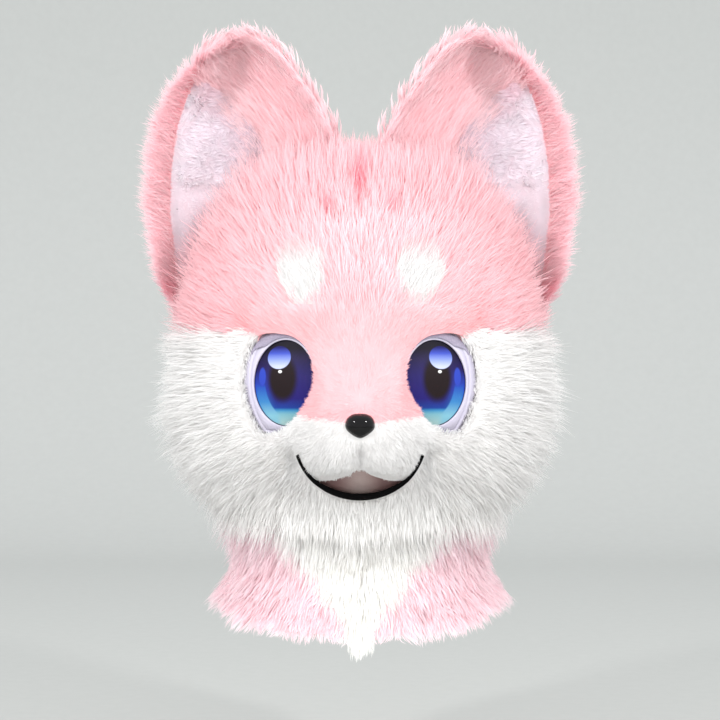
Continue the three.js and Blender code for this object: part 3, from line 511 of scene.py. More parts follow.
def zone_of(points):
    """The number in ZONES of the panel that each point lies on."""
    x, y, z = np.moveaxis(points, -1, 0)
    reach = np.abs(x)
    bridge_end = BRIDGE_END_Z + 0.006 * (reach / BRIDGE_HALF_WIDTH) ** 3
    narrow = smooth(-z, 0.092, 0.115)
    bridge_half = BRIDGE_TOP_HALF_WIDTH + (BRIDGE_HALF_WIDTH - BRIDGE_TOP_HALF_WIDTH) * narrow
    bridge = (reach < bridge_half) & (z > bridge_end)
    white = (z < PINK_BORDER_Z) & (y < PINK_BACK_Y) & ~bridge
    bow = smile_level(reach)
    muzzle = (reach < MUZZLE_HALF_WIDTH) & (z < MUZZLE_TOP_Z) & (z > bow)
    jaw = (reach < JAW_HALF_WIDTH) & (z <= bow)
    spot = ((reach - BROW_SPOT_X) / BROW_SPOT_HALF_WIDTH) ** 2
    spot = spot + ((z - BROW_SPOT_Z) / BROW_SPOT_HALF_HEIGHT) ** 2 < 1
    front = y < 0
    zone = np.where(y < BACK_Y, ZONES.index("crown_front"), ZONES.index("crown_back"))
    zone = np.where(bridge & (z < BRIDGE_TOP_Z) & front, ZONES.index("bridge"), zone)
    cheek = np.where(x > 0, ZONES.index("cheek_left"), ZONES.index("cheek_right"))
    zone = np.where(white, cheek, zone)
    zone = np.where(white & front & jaw, ZONES.index("jaw"), zone)
    zone = np.where(white & front & muzzle, ZONES.index("muzzle"), zone)
    brow = np.where(x > 0, ZONES.index("brow_left"), ZONES.index("brow_right"))
    return np.where(spot & front, brow, zone)


face_zone = zone_of(grid_points[grid_faces].mean(1))
print("cells in each zone:", dict(zip(ZONES, np.bincount(face_zone, minlength=len(ZONES)).tolist())))

# %% [markdown]
# ## How long the fur is, and how steeply it stands
#
# A furrier shaves a costume face with clippers: very short on the muzzle, longer on the brow, and
# full length at the cheeks. A short table of guide places holds the length and the lift of the
# hair there, and every hair takes a mean of the places near it.

# %% Fur guides
FUR_GUIDES = [
    {"place": "muzzle", "azimuth": 0, "elevation": -34, "length": 0.0070, "lift": 28},
    {"place": "muzzle side", "azimuth": 18, "elevation": -36, "length": 0.0080, "lift": 28},
    {"place": "bridge", "azimuth": 0, "elevation": -10, "length": 0.0085, "lift": 22},
    {"place": "inner eye", "azimuth": 14, "elevation": -14, "length": 0.0056, "lift": 16},
    {"place": "under the eye", "azimuth": 28, "elevation": -31, "length": 0.011, "lift": 26},
    {"place": "beside the eye", "azimuth": 44, "elevation": -12, "length": 0.017, "lift": 26},
    {"place": "over the eye", "azimuth": 27, "elevation": 7, "length": 0.013, "lift": 22},
    {"place": "brow", "azimuth": 18, "elevation": 24, "length": 0.019, "lift": 26},
    {"place": "forehead", "azimuth": 0, "elevation": 42, "length": 0.026, "lift": 32},
    {"place": "temple", "azimuth": 52, "elevation": 16, "length": 0.026, "lift": 30},
    {"place": "crown", "azimuth": 0, "elevation": 72, "length": 0.026, "lift": 56},
    {"place": "ear foot", "azimuth": 55, "elevation": 50, "length": 0.042, "lift": 56},
    {"place": "outer ear foot", "azimuth": 80, "elevation": 28, "length": 0.038, "lift": 44},
    {"place": "upper ruff", "azimuth": 78, "elevation": 2, "length": 0.050, "lift": 38},
    {"place": "ruff", "azimuth": 76, "elevation": -18, "length": 0.068, "lift": 50},
    {"place": "lower ruff", "azimuth": 66, "elevation": -40, "length": 0.051, "lift": 42},
    {"place": "jaw side", "azimuth": 36, "elevation": -52, "length": 0.051, "lift": 30},
    {"place": "chin", "azimuth": 0, "elevation": -58, "length": 0.060, "lift": 28},
    {"place": "back", "azimuth": 150, "elevation": 0, "length": 0.040, "lift": 28},
    {"place": "nape", "azimuth": 150, "elevation": -38, "length": 0.042, "lift": 30},
    {"place": "back top", "azimuth": 150, "elevation": 42, "length": 0.038, "lift": 32},
]
GUIDE_REACH = 17  # degrees
EYE_EDGE_LIFT = math.radians(46)  # how steeply the fur laps over the outer edge of the eyes
LIP_EDGE_SHARE = 0.2  # how short the fur is cut along the upper lip
CHIN_EDGE_SHARE = 0.4  # and under the lower one
print("guide places:", len(FUR_GUIDES))

# %% [markdown]
# Along the lips the fur is cut shorter still, and at the outer edge of each eye it leans over the
# plastic, so that no gap shows. The nap, the way the hair is combed, starts at the top of the nose
# and runs outwards from there. At the back it hangs down.

# %% Length, lift and nap
def beside_eye(points):
    """1 along the outer edge of an eye, where the fur laps over the bowl, 0 away from it."""
    in_eye = to_eye(points)
    outer = smooth(in_eye[:, 0] - 0.4 * in_eye[:, 2], 0.0, 0.014)
    return (1 - smooth(eye_level(points), 1.06, 1.24)) * outer


def fur_guide(points):
    """Length in metres and lift in radians of the hair rooted at each point."""
    way = way_to(points)
    way[:, 0] = np.abs(way[:, 0])
    total = np.zeros(len(points))
    length, lift = np.zeros(len(points)), np.zeros(len(points))
    for row in FUR_GUIDES:
        a, e = math.radians(row["azimuth"]), math.radians(row["elevation"])
        guide = np.array([math.sin(a) * math.cos(e), -math.cos(a) * math.cos(e), math.sin(e)])
        apart = np.degrees(np.arccos(np.clip(way @ guide, -1, 1)))
        weight = np.exp(-((apart / GUIDE_REACH) ** 2)) + 1e-6
        total += weight
        length += weight * row["length"]
        lift += weight * math.radians(row["lift"])
    x, z = points[:, 0], points[:, 2]
    bow = smile_level(x)
    over_lip = smooth(z - np.maximum(upper_lip(x), bow), 0.001, 0.014)
    on_muzzle = (np.abs(x) < 0.056) & (points[:, 1] < 0) & (z > bow)
    clipped = np.where(on_muzzle, LIP_EDGE_SHARE + (1 - LIP_EDGE_SHARE) * over_lip, 1)
    under_lip = smooth(bow - z, 0, 0.016)
    on_jaw = (np.abs(x) < JAW_HALF_WIDTH) & (z <= bow)
    clipped = np.where(on_jaw, CHIN_EDGE_SHARE + (1 - CHIN_EDGE_SHARE) * under_lip, clipped)
    beside = beside_eye(points)
    length, lift = length / total * clipped, lift / total
    return length * (1 - 0.48 * beside), lift + (EYE_EDGE_LIFT - lift) * beside


NAP_CENTRE = face_point(0, -0.149)
NAP_HANG = 1.26  # how strongly the hair at the back hangs down
HANG_FROM, HANG_TO = 0.212, 0.243  # below these depths the hair hangs straight over the neck


def nap(points, normals):
    """The way the hair is combed: away from the top of the nose, and down at the back."""
    away = unit(points - NAP_CENTRE)
    away[:, 2] -= NAP_HANG * smooth(points[:, 1], -0.04, HEAD_BACK)
    away[:, 2] += 1.2 * smooth(points[:, 2], -0.01, 0.04) * smooth(-points[:, 1], -0.03, 0.03)
    beside = beside_eye(points)[:, None]
    side = np.stack([np.sign(points[:, 0]), np.ones(len(points)), np.ones(len(points))], -1)
    away = away * (1 - beside) + unit(EYE_SEAT * side - points) * beside
    low = smooth(-points[:, 2], HANG_FROM, HANG_TO)[:, None]
    outwards = unit((points - HEAD_CENTRE) * [1, 1, 0])
    away = away * (1 - low) + (outwards * 0.45 + [0, 0, -1]) * low
    return unit(along_surface(away, normals) * (1 - low) + unit(away) * low)


def stand_out(points, normals):
    """The way hair stands off the skin: level all round the lower edge, so that it hangs over it."""
    low = smooth(-points[:, 2], HANG_FROM, HANG_TO)[:, None]
    return unit(normals * (1 - low) + unit(points - HEAD_CENTRE) * [1, 1, 0] * low)


print("hair at the cheek:", [round(float(v[0]), 3) for v in fur_guide(np.array([[0.15, 0, -0.16]]))])

# %% [markdown]
# ## Growing hair
#
# Blender has hair curves, but a mesh of thin ribbons can be carried to any other program. Each
# ribbon is two or three cells long and ends in a point. Real fur isn't even: hairs lean towards
# their neighbours and form small locks, and these lean together into tufts. So some hairs are
# chosen as leaders, and the others bend towards the nearest leader, more and more up to the tip.

# %% Scatter roots
def scatter(points, faces, weight, count, rng):
    """Random places on a mesh, more where the weight of a face is higher."""
    corners = points[faces]
    across, down = corners[:, 2] - corners[:, 0], corners[:, 3] - corners[:, 1]
    area = np.linalg.norm(np.cross(across, down), axis=1) / 2
    chance = area * weight
    pick = rng.choice(len(faces), count, p=chance / chance.sum())
    a, b = rng.random((2, count, 1))
    c = corners[pick]
    return (c[:, 0] * (1 - a) + c[:, 1] * a) * (1 - b) + (c[:, 3] * (1 - a) + c[:, 2] * a) * b


def nearest(points, leaders):
    """For each point, the number of the nearest leader."""
    tree = kdtree.KDTree(len(leaders))
    for i, place in enumerate(points[leaders]):
        tree.insert(place, i)
    tree.balance()
    return leaders[[tree.find(place)[1] for place in points]]


HAIR_SHARE = 1.0
WIDTH_UNIT = MM / HAIR_SHARE**0.5  # fewer hairs are drawn wider, so that they still cover
LOCK_OF = 14  # hairs in a small lock
TUFT_OF = 150  # hairs in a tuft
print("hairs in a lock:", LOCK_OF, "and in a tuft:", TUFT_OF)

# %% [markdown]
# A hair leaves the skin at its lift and bends over to half of it. Its ribbon is rolled by chance, so
# that some hairs are seen edge on. Its normals lean towards the skin's own, because fur takes the
# light like the form below it and not like many flat strips.

# %% Grow hairs
def grow(
    root,
    normal,
    flow,
    length,
    lift,
    rng,
    width,
    segments,
    lock,
    tuft=0.18,
    sag=0.0,
    messy=0.22,
    shortest=0.7,
):
    """Hairs as ribbons: their points, faces and normals, and the share of each point up its hair.

    It also gives the number of points of a hair, and the leader of each hair's lock.
    """
    count = len(root)
    stray = rng.normal(0, messy, (count, 3))
    flow = along_surface(flow + stray, normal)
    length = length * (shortest + (1.14 - shortest) * rng.random(count) ** (2 - shortest))
    lift = lift * rng.uniform(0.55, 1.35, count)
    start = flow * np.cos(lift)[:, None] + normal * np.sin(lift)[:, None]
    end = flow * np.cos(lift * 0.5)[:, None] + normal * np.sin(lift * 0.5)[:, None]
    end = unit(end + rng.normal(0, messy * 0.8, (count, 3)) + [0, 0, -sag])
    steps = np.array([0, 0.36, 0.7, 1] if segments == 3 else [0, 0.52, 1])

    def spines(s):
        bend = start * (s - s * s / 2) + end * (s * s / 2)
        return root + bend * length[:, None]

    order = rng.permutation(count)
    locks = nearest(root, order[: max(1, count // LOCK_OF)])
    tufts = nearest(root, order[: max(1, count // TUFT_OF)])
    tight = rng.uniform(0.3, 1, count)[locks]
    rows = []
    for s in steps:
        line = spines(s)
        led = line + (line[locks] - line) * (lock * tight * s**1.4)[:, None]
        rows.append(led + (line[tufts] - led) * (tuft * s**1.6))
    middle = unit(rows[-1] - rows[0])
    side = unit(np.cross(middle, normal))
    roll = rng.uniform(-0.95, 0.95, count)[:, None]
    side = side * np.cos(roll) + np.cross(middle, side) * np.sin(roll)
    outward = np.cross(side, middle)
    half = width * rng.uniform(0.7, 1.25, count)[:, None] / 2
    taper = [0.85, 1.0, 0.66] if segments == 3 else [1.0, 0.8]
    points, shading, share = [], [], []
    soft = unit(normal * 0.8 + outward * 0.2)
    for line, s, wide in zip(rows, steps, taper):
        points += [line - side * half * wide, line + side * half * wide]
        shading += [unit(soft - side * 0.2), unit(soft + side * 0.2)]
        share += [s, s]
    points.append(rows[-1])
    shading.append(soft)
    share.append(1.0)
    stride = len(points)
    points = np.stack(points, 1).reshape(-1, 3)
    shading = np.stack(shading, 1).reshape(-1, 3)
    base = np.arange(count)[:, None] * stride
    cells = [base + np.array([2 * k, 2 * k + 1, 2 * k + 3, 2 * k + 2]) for k in range(segments - 1)]
    tips = base + np.array([stride - 3, stride - 2, stride - 1])
    faces = [np.concatenate(cells), tips]
    return points, faces, shading, np.tile(share, count), stride, locks


print("a hair of 3 cells has", 2 * 3 + 1, "points, and one of 2 has", 2 * 2 + 1)

# %% [markdown]
# A fur piece is the skin below and the hair on it, joined. Roots are deeper in colour than tips,
# because light bounces about between the hairs down there and takes up the dye. Each hair and each
# lock is also a little lighter or darker than the next.

# %% Fur piece
ROOT_SINK = 0.001


def atlas(count, stride, share):
    """A flat map with a small cell for each hair, in the lower part of the square."""
    columns = math.ceil(math.sqrt(count))
    hair = np.repeat(np.arange(count), stride)
    right = np.tile(np.r_[np.tile([0.0, 1.0], (stride - 1) // 2), 0.5], count)
    u = (hair % columns + 0.15 + 0.7 * right) / columns
    v = (hair // columns + 0.1 + 0.8 * share) / math.ceil(count / columns)
    return np.c_[u, v * 0.86]


def outwards_faces(points, faces, normals):
    """Turns over each cell that looks away from its normals."""
    corner = points[faces]
    looks = np.cross(corner[:, 2] - corner[:, 0], corner[:, 3] - corner[:, 1])
    wrong = (looks * normals[faces].sum(1)).sum(1) < 0
    return np.where(wrong[:, None], faces[:, ::-1], faces)


def fur_piece(name, skin, roots, hair, colour, slot, node, seed, root_shade=0.5):
    """Joins a skin (points, faces, normals) and its hair, and colours both."""
    rng = np.random.default_rng(seed)
    points, faces, shading, share, stride, locks = hair
    count = len(roots)
    deep, pale = colour(roots)
    tone = 1 + rng.normal(0, 0.028, count) + rng.normal(0, 0.03, count)[locks]
    tone = np.repeat(tone, stride)[:, None]
    up = smooth(share, -0.05, 0.62)[:, None]
    tint = (np.repeat(deep, stride, 0) * (1 - up) + np.repeat(pale, stride, 0) * up) * tone
    uv = atlas(count, stride, share)
    skin_points, skin_faces, skin_normals = skin
    skin_faces = outwards_faces(skin_points, skin_faces, skin_normals)
    used, index = np.unique(skin_faces, return_inverse=True)
    skin_faces = index.reshape(skin_faces.shape)
    skin_points, skin_normals = skin_points[used], skin_normals[used]
    skin_deep, skin_pale = colour(skin_points)
    skin_tint = skin_deep * root_shade + skin_pale * (1 - root_shade)
    low, high = skin_points.min(0), skin_points.max(0)
    flat = (skin_points - low) / np.maximum(high - low, 1e-6)
    skin_uv = np.c_[flat[:, 0], 0.88 + 0.11 * flat[:, 2]]
    faces = [f + len(skin_points) for f in faces] + [skin_faces]
    points = np.concatenate([skin_points, points])
    shading = np.concatenate([skin_normals, shading])
    tint = np.clip(np.concatenate([skin_tint, tint]), 0, 1)
    uv = np.concatenate([skin_uv, uv])
    return build(name, points, faces, FUR[slot], node, tint, shading, uv)


print("roots lie", ROOT_SINK / MM, "mm deep in the skin")

# %% [markdown]
# ## Materials by nodes
#
# A material is a small graph. These helpers add a node, set its sockets by name and link it, so
# that each recipe below reads as a list of what the surface is made of.

# %% Node helpers
def new_material(name):
    material = bpy.data.materials.new(name)
    material.use_nodes = True
    tree = material.node_tree
    tree.nodes.clear()
    output = tree.nodes.new("ShaderNodeOutputMaterial")
    return material, tree, output


def add(tree, kind, settings=None, **inputs):
    """Adds a node. An input is a number, a colour or the output of another node."""
    node = tree.nodes.new("ShaderNode" + kind)
    for key, value in (settings or {}).items():
        setattr(node, key, value)
    for key, value in inputs.items():
        socket = node.inputs[int(key[1:])] if key[1:].isdigit() else node.inputs[key.replace("_", " ")]
        if isinstance(value, bpy.types.NodeSocket):
            tree.links.new(value, socket)
        else:
            socket.default_value = value
    return node


def rgba(colour):
    return (*[float(c) for c in colour], 1.0)


def mix(tree, factor, a, b, blend="MIX"):
    node = add(tree, "Mix", {"data_type": "RGBA", "blend_type": blend}, _0=factor, _6=a, _7=b)
    return node.outputs[2]


def ramp(tree, value, stops):
    node = add(tree, "ValToRGB", Fac=value)
    while len(node.color_ramp.elements) < len(stops):
        node.color_ramp.elements.new(0.5)
    for element, (place, colour) in zip(node.color_ramp.elements, stops):
        element.position = place
        element.color = rgba(colour) if np.ndim(colour) else rgba([colour] * 3)
    return node.outputs["Color"]


def maths(tree, operation, a, b=0.0, clamp=False):
    return add(tree, "Math", {"operation": operation, "use_clamp": clamp}, _0=a, _1=b).outputs[0]


def place_in(tree):
    """Where on the piece a point lies, in metres."""
    return add(tree, "TexCoord").outputs["Object"]


def noise(tree, scale, detail):
    return add(tree, "TexNoise", Vector=place_in(tree), Scale=scale, Detail=detail).outputs["Fac"]


def cells(tree, scale, **settings):
    """The distance from the middle of the nearest cell: irregular pores, or a square weave."""
    randomness = 0.0 if settings else 1.0
    node = add(tree, "TexVoronoi", settings, Vector=place_in(tree), Scale=scale, Randomness=randomness)
    return node.outputs["Distance"]


def fade(tree, value, low, high, slope="SMOOTHSTEP"):
    """0 where the value is low, 1 where it is high."""
    settings = {"interpolation_type": slope}
    return add(tree, "MapRange", settings, Value=value, From_Min=low, From_Max=high).outputs["Result"]


def look(parts, colour, height, strength, depth, **shader):
    """Ends a recipe: bumps from a height, the shader with its settings, and the output."""
    material, tree, output = parts
    bump = add(tree, "Bump", Strength=strength, Distance=depth, Height=height)
    body = add(tree, "BsdfPrincipled", Base_Color=colour, Normal=bump.outputs[0], **shader)
    tree.links.new(body.outputs[0], output.inputs["Surface"])
    return material


print("black, as a socket takes it:", rgba(srgb(0, 0, 0)))

# %% [markdown]
# ## Fur
#
# Faux fur is fine acrylic: soft, a little silky, and light shines through it, which gives the pale
# halo round the head. So the shader is a rough surface with a little sheen, mixed with a
# translucent one. The colour comes from the hairs themselves, with slow noise over it for the
# patches where the pile lies differently.

# %% Fur material
def fur_material(name, through=0.6, patchy=0.03):
    material, tree, output = new_material(name)
    hair = add(tree, "Attribute", {"attribute_name": "tint"}).outputs["Color"]
    shade = ramp(tree, noise(tree, 26, 3), [(0.3, 1 - patchy), (0.7, 1.0)])
    colour = mix(tree, 1.0, hair, shade, "MULTIPLY")
    gloss = {"Roughness": 0.72, "Specular_IOR_Level": 0.18}
    silk = {"Sheen_Weight": 0.15, "Sheen_Roughness": 0.5}
    body = add(tree, "BsdfPrincipled", Base_Color=colour, **gloss, **silk)
    glow = add(tree, "BsdfTranslucent", Color=colour)
    both = add(tree, "MixShader", _0=through, _1=body.outputs[0], _2=glow.outputs[0])
    tree.links.new(both.outputs[0], output.inputs["Surface"])
    return material


FUR = {
    "pink_fur": fur_material("pink fur"),
    "short_pink_fur": fur_material("short pink fur", through=0.5),
    "white_fur": fur_material("white fur", patchy=0.02),
    "short_white_fur": fur_material("short white fur", through=0.5, patchy=0.02),
    "ear_fur": fur_material("ear fur"),
    "ear_lining": fur_material("ear lining", through=0.5, patchy=0.10),
}
print("fur materials:", list(FUR))

# %% [markdown]
# Every colour comes as a pair, for the root and for the tip of a hair. The pink is paler on the
# forehead. Painted shade makes it deep in the seam and small folds between the ears and over the
# top of the nose. Painted shade also darkens pink and white a little where the face is shaved,
# because short hair shades itself less than long hair.

# %% Fur colours
PINK_TIP = srgb(255, 219, 223)
PINK_ROOT = srgb(255, 207, 212)
# Painted shade: shaved pink is deeper, because short hair shades itself less than long hair
SHAVED_PINK_SHADE_TIP = srgb(255, 206, 209)
SHAVED_PINK_SHADE_ROOT = srgb(255, 197, 201)
PALE_PINK_TIP = srgb(255, 229, 232)
PALE_PINK_ROOT = srgb(255, 216, 220)
EAR_TIP = srgb(255, 231, 234)
EAR_ROOT = srgb(255, 224, 227)
# Painted shade, for the seams, folds and creases of the pink fur
PINK_SHADE = srgb(232, 96, 122)
WHITE_TIP = srgb(250, 249, 248)
WHITE_ROOT = srgb(246, 244, 243)
LILAC_TIP = srgb(250, 245, 250)
LILAC_ROOT = srgb(232, 222, 231)
CREAM_TIP = srgb(255, 254, 250)
# The front of the ears' fur on the head: above this line the pink is deeper
EAR_FUR_FRONT = [
    {"level": 0.0, "z": 0.016},
    {"level": 0.026, "z": 0.012},
    {"level": 0.063, "z": -0.002},
    {"level": 0.099, "z": -0.022},
    {"level": 0.122, "z": -0.046},
    {"level": 0.150, "z": -0.076},
]


def between(a, b, share):
    """Mixes two colours, or two arrays of them."""
    return a + (b - a) * np.asarray(share)[..., None]


def pink(points):
    """Root and tip colours of pink fur, paler on the forehead and darkened in places by painted shade."""
    x, y, z = np.moveaxis(points, -1, 0)
    reach = np.abs(x)
    over = smooth(z - column(EAR_FUR_FRONT, "z", reach), -0.006, 0.006)
    forehead = np.exp(-((x / 0.085) ** 2) - ((z + 0.030) / 0.050) ** 2) * smooth(-y, 0, 0.05)
    pale = np.clip(0.75 * forehead * (1 - over), 0, 1)
    # Painted shade: shaved hair gets a deeper pink, because short hair shades itself less
    shaved_shade = smooth(-z, 0.055, 0.100) * (reach < 0.10) * (y < 0)
    root = between(between(PINK_ROOT, PALE_PINK_ROOT, pale), SHAVED_PINK_SHADE_ROOT, shaved_shade)
    tip = between(between(PINK_TIP, PALE_PINK_TIP, pale), SHAVED_PINK_SHADE_TIP, shaved_shade)
    # Painted shade: deep pink in the seam and folds between the ears and in the crease above the nose
    seam_shade = np.exp(-((reach / 0.0042) ** 2) - ((z - 0.028) / 0.017) ** 2) * smooth(-y, -0.02, 0.02)
    fold_shade = 0.75 * np.exp(-(((reach - 0.026) / 0.005) ** 2) - ((z - 0.006) / 0.006) ** 2)
    snout_shade = 0.20 * np.exp(-((reach / 0.013) ** 2) - ((z + 0.157) / 0.005) ** 2)
    deep = np.clip(seam_shade + fold_shade + snout_shade, 0, 1)
    return between(root, PINK_SHADE, deep), between(tip, PINK_SHADE, 0.65 * deep)


def white(points):
    """White fur: creamier down the breast, a breath of pink atop the brow spots, and painted shade."""
    low = smooth(-points[:, 2], 0.20, 0.36)
    tip = between(WHITE_TIP, CREAM_TIP, low)
    tip = between(tip, PALE_PINK_TIP, 0.85 * smooth(points[:, 2], BROW_SPOT_Z + 0.002, -0.022))
    reach, z = np.abs(points[:, 0]), points[:, 2]
    # Painted shade: darker where shaved, in the creases at the mouth's corners, in the groove under the
    # nose and over the brow spots
    shaved_shade = 0.16 * patch(way_to(points), 0, -31, 30, 17)
    crease = 0.28 * np.exp(-(((reach - 0.0565) / 0.0045) ** 2) - ((z + 0.199) / 0.010) ** 2)
    groove = 0.10 * np.exp(-((reach / 0.0015) ** 2) - ((z + 0.192) / 0.011) ** 2)
    spot = 0.10 * smooth(points[:, 2], -0.090, -0.075)
    shade = (1 - np.clip(shaved_shade + spot + (crease + groove) * (points[:, 1] < 0), 0, 0.6))[:, None]
    return np.tile(WHITE_ROOT, (len(points), 1)) * shade, tip * shade


def ear_pink(points):
    """Plain pink fur, for the backs of the ears."""
    return np.tile(EAR_ROOT, (len(points), 1)), np.tile(EAR_TIP, (len(points), 1))


print("pink at the tips, as light:", np.round(PINK_TIP, 2))

# %% [markdown]
# ## Hair on the head
#
# The whole head is sown at once, and each root then goes to its zone. The face gets the most hairs
# and the finest, the back fewer and wider ones, because it is seen less closely.

# %% Sow the head
HEAD_FUR = [
    {"zone": "crown_front", "hairs": 31200, "width": 0.85, "lock": 0.32, "sag": 0.0, "shortest": 0.55},
    {"zone": "crown_back", "hairs": 10500, "width": 2.3, "lock": 0.6, "sag": 0.25, "shortest": 0.7},
    {"zone": "bridge", "hairs": 14000, "width": 0.65, "lock": 0.25, "sag": 0.0, "shortest": 0.7},
    {"zone": "muzzle", "hairs": 14000, "width": 0.65, "lock": 0.2, "sag": 0.0, "shortest": 0.7},
    {"zone": "jaw", "hairs": 9000, "width": 0.8, "lock": 0.22, "sag": 0.35, "shortest": 0.42},
    {"zone": "cheek_left", "hairs": 18500, "width": 0.85, "lock": 0.34, "sag": 0.30, "shortest": 0.36},
    {"zone": "cheek_right", "hairs": 18500, "width": 0.85, "lock": 0.34, "sag": 0.30, "shortest": 0.36},
    {"zone": "brow_left", "hairs": 2900, "width": 0.8, "lock": 0.3, "sag": 0.0, "shortest": 0.5},
    {"zone": "brow_right", "hairs": 2900, "width": 0.8, "lock": 0.3, "sag": 0.0, "shortest": 0.5},
]
SHORT_ZONES = ("bridge", "muzzle")
HEAD_PIECES = {
    "crown_front": ("crown_fur_front", "crown_fur", "pink_fur", pink),
    "crown_back": ("crown_fur_back", None, "pink_fur", pink),
    "bridge": ("bridge_short_fur", "bridge_fur", "short_pink_fur", pink),
    "muzzle": ("muzzle_short_fur", "muzzle_fur", "short_white_fur", white),
    "jaw": ("chin_fur", "jaw_fur", "short_white_fur", white),
    "cheek_left": ("cheek_ruff_left", "cheek_fur_left", "white_fur", white),
    "cheek_right": ("cheek_ruff_right", "cheek_fur_right", "white_fur", white),
    "brow_left": ("brow_tuft_left", "brow_spot_left", "white_fur", white),
    "brow_right": ("brow_tuft_right", "brow_spot_right", "white_fur", white),
}
BORDER_MIX = 0.0028  # how far hairs of two panels stray over their border
BROW_MIX = 0.0075  # and how much further they stray round the brow spots
LONG_SHARE = 0.35  # the part of the hairs between the ears that is long, to hide where they start
LONG_FACTOR = 1.5
STRAY_SHARE = 0.30  # the part of the hairs along the upper lip that the clippers left longer
STRAY_LENGTH = 0.0050
NOSE_HALF_WIDTH = 0.0125
NOSE_HALF_HEIGHT = 0.0106
NOSE_Z = -0.1695


def sow(row, number):
    """The roots of one panel's hairs, and the random draws that go on with them."""
    rng = np.random.default_rng(100 + number)
    own = (face_zone == number) | (zone_of(grid_points[grid_faces[:, 0]]) == number)
    faces = grid_faces[own]
    count = int(row["hairs"] * HAIR_SHARE)
    middle = grid_points[faces].mean(1)
    ahead = 1 + 1.2 * smooth(-middle[:, 1], -0.02, 0.06)
    roots = scatter(grid_points, faces, ahead, count * 2, rng)
    across, up = np.abs(roots[:, 0]) - BROW_SPOT_X, roots[:, 2] - BROW_SPOT_Z
    near_brow = np.exp(-((across / 0.028) ** 2) - (up / 0.034) ** 2)[:, None]
    jitter = roots + rng.normal(0, 1, roots.shape) * (BORDER_MIX + BROW_MIX * near_brow)
    clear = (zone_of(jitter) == number) & (eye_level(roots) > 1.0)
    clear &= ~(in_mouth(roots[:, 0], roots[:, 2], 0.0004) & (roots[:, 1] < MOUTH_FRONT_Y))
    nose = (roots[:, 0] / NOSE_HALF_WIDTH) ** 2 + ((roots[:, 2] - NOSE_Z) / NOSE_HALF_HEIGHT) ** 2
    clear &= (nose > 0.8) | (roots[:, 1] > 0)
    return roots[clear][:count], rng


print("hairs to sow on the head:", sum(row["hairs"] for row in HEAD_FUR))

# %% [markdown]
# Each panel is grown with its own row of the table. Clippers always leave some hairs longer, so a
# part of those on the upper lip are. Between the ears some are long as well, which hides where the
# ears start.

# %% Grow the fur of the head
for number, row in enumerate(HEAD_FUR):
    roots, rng = sow(row, number)
    normals = skin_normal(roots)
    length, lift = fur_guide(roots)
    if row["zone"] == "muzzle":
        stray = (rng.random(len(roots)) < STRAY_SHARE) & (np.abs(roots[:, 0]) < 0.034)
        length = np.where(stray, np.maximum(length, STRAY_LENGTH), length)
    if row["zone"] == "crown_front":
        over = roots[:, 2] > column(EAR_FUR_FRONT, "z", np.abs(roots[:, 0])) + 0.01
        length = length * np.where(over & (rng.random(len(roots)) < LONG_SHARE), LONG_FACTOR, 1)
    hair = grow(
        roots - normals * ROOT_SINK,
        stand_out(roots, normals),
        nap(roots, normals),
        length,
        lift,
        rng,
        row["width"] * WIDTH_UNIT,
        2 if row["zone"] in SHORT_ZONES else 3,
        row["lock"],
        sag=row["sag"],
        shortest=row["shortest"],
    )
    skin = (grid_points, grid_faces[face_zone == number], grid_normals)
    name, node, slot, colour = HEAD_PIECES[row["zone"]]
    fur_piece(name, skin, roots, hair, colour, slot, node, seed=number)

# %% [markdown]
# ## Ears
#
# Each ear is a big cup that opens to the front. It is a sheet between an inner and an outer edge,
# read from a table of levels. The same function as in the frame gives a point anywhere on it, and
# a second one the way out of the cup.

# %% Ear form
EAR_TIP_Z = 0.174
EAR_FOOT_Z = -0.084
EAR_CUP_DEPTH = 0.050
EAR_EDGE_Y = 0.006
EAR_TURN = 0.3
EAR_WALL = 0.008
EAR_OUTLINE = [
    {"level": 0.0, "inner": 0.070, "outer": 0.158},
    {"level": 0.14, "inner": 0.046, "outer": 0.177},
    {"level": 0.4, "inner": 0.020, "outer": 0.187},
    {"level": 0.58, "inner": 0.014, "outer": 0.185},
    {"level": 0.72, "inner": 0.029, "outer": 0.178},
    {"level": 0.83, "inner": 0.047, "outer": 0.167},
    {"level": 0.92, "inner": 0.064, "outer": 0.152},
    {"level": 0.97, "inner": 0.077, "outer": 0.138},
    {"level": 1.0, "inner": 0.092, "outer": 0.120},
]


def ear_edge(key, up):
    """An edge of the ear: the table's column, rounded off by a mean over nearby levels."""
    offsets = np.linspace(-0.05, 0.05, 7)
    return np.mean([column(EAR_OUTLINE, key, np.clip(up + d * (1 - up), 0, 1)) for d in offsets], 0)


def ear_point(up, across, out=None):
    """A point of the ear on the +x side. up runs 0 to 1, across -1 to 1 from inner to outer edge."""
    inner, outer = ear_edge("inner", up), ear_edge("outer", up)
    half, middle = (outer - inner) / 2, (outer + inner) / 2
    full = np.minimum(1, half / 0.060)
    cup = EAR_CUP_DEPTH * full * (1 - across**2)
    turned = EAR_TURN * EAR_CUP_DEPTH * across * full
    z = EAR_FOOT_Z + (EAR_TIP_Z - EAR_FOOT_Z) * up
    points = np.stack(np.broadcast_arrays(middle + half * across, EAR_EDGE_Y + cup + turned, z), -1)
    if out is None:
        return points
    return points + ear_normal(up, across) * out[..., None]


def ear_slopes(up, across, step=0.01):
    along = ear_point(np.minimum(1, up + step), across) - ear_point(np.maximum(0, up - step), across)
    over = ear_point(up, np.minimum(1, across + step)) - ear_point(up, np.maximum(-1, across - step))
    return unit(along), unit(over)


def ear_normal(up, across):
    along, over = ear_slopes(up, across)
    return unit(np.cross(over, along))


print("ears from", round(EAR_FOOT_Z / MM), "to", round(EAR_TIP_Z / MM), "mm")

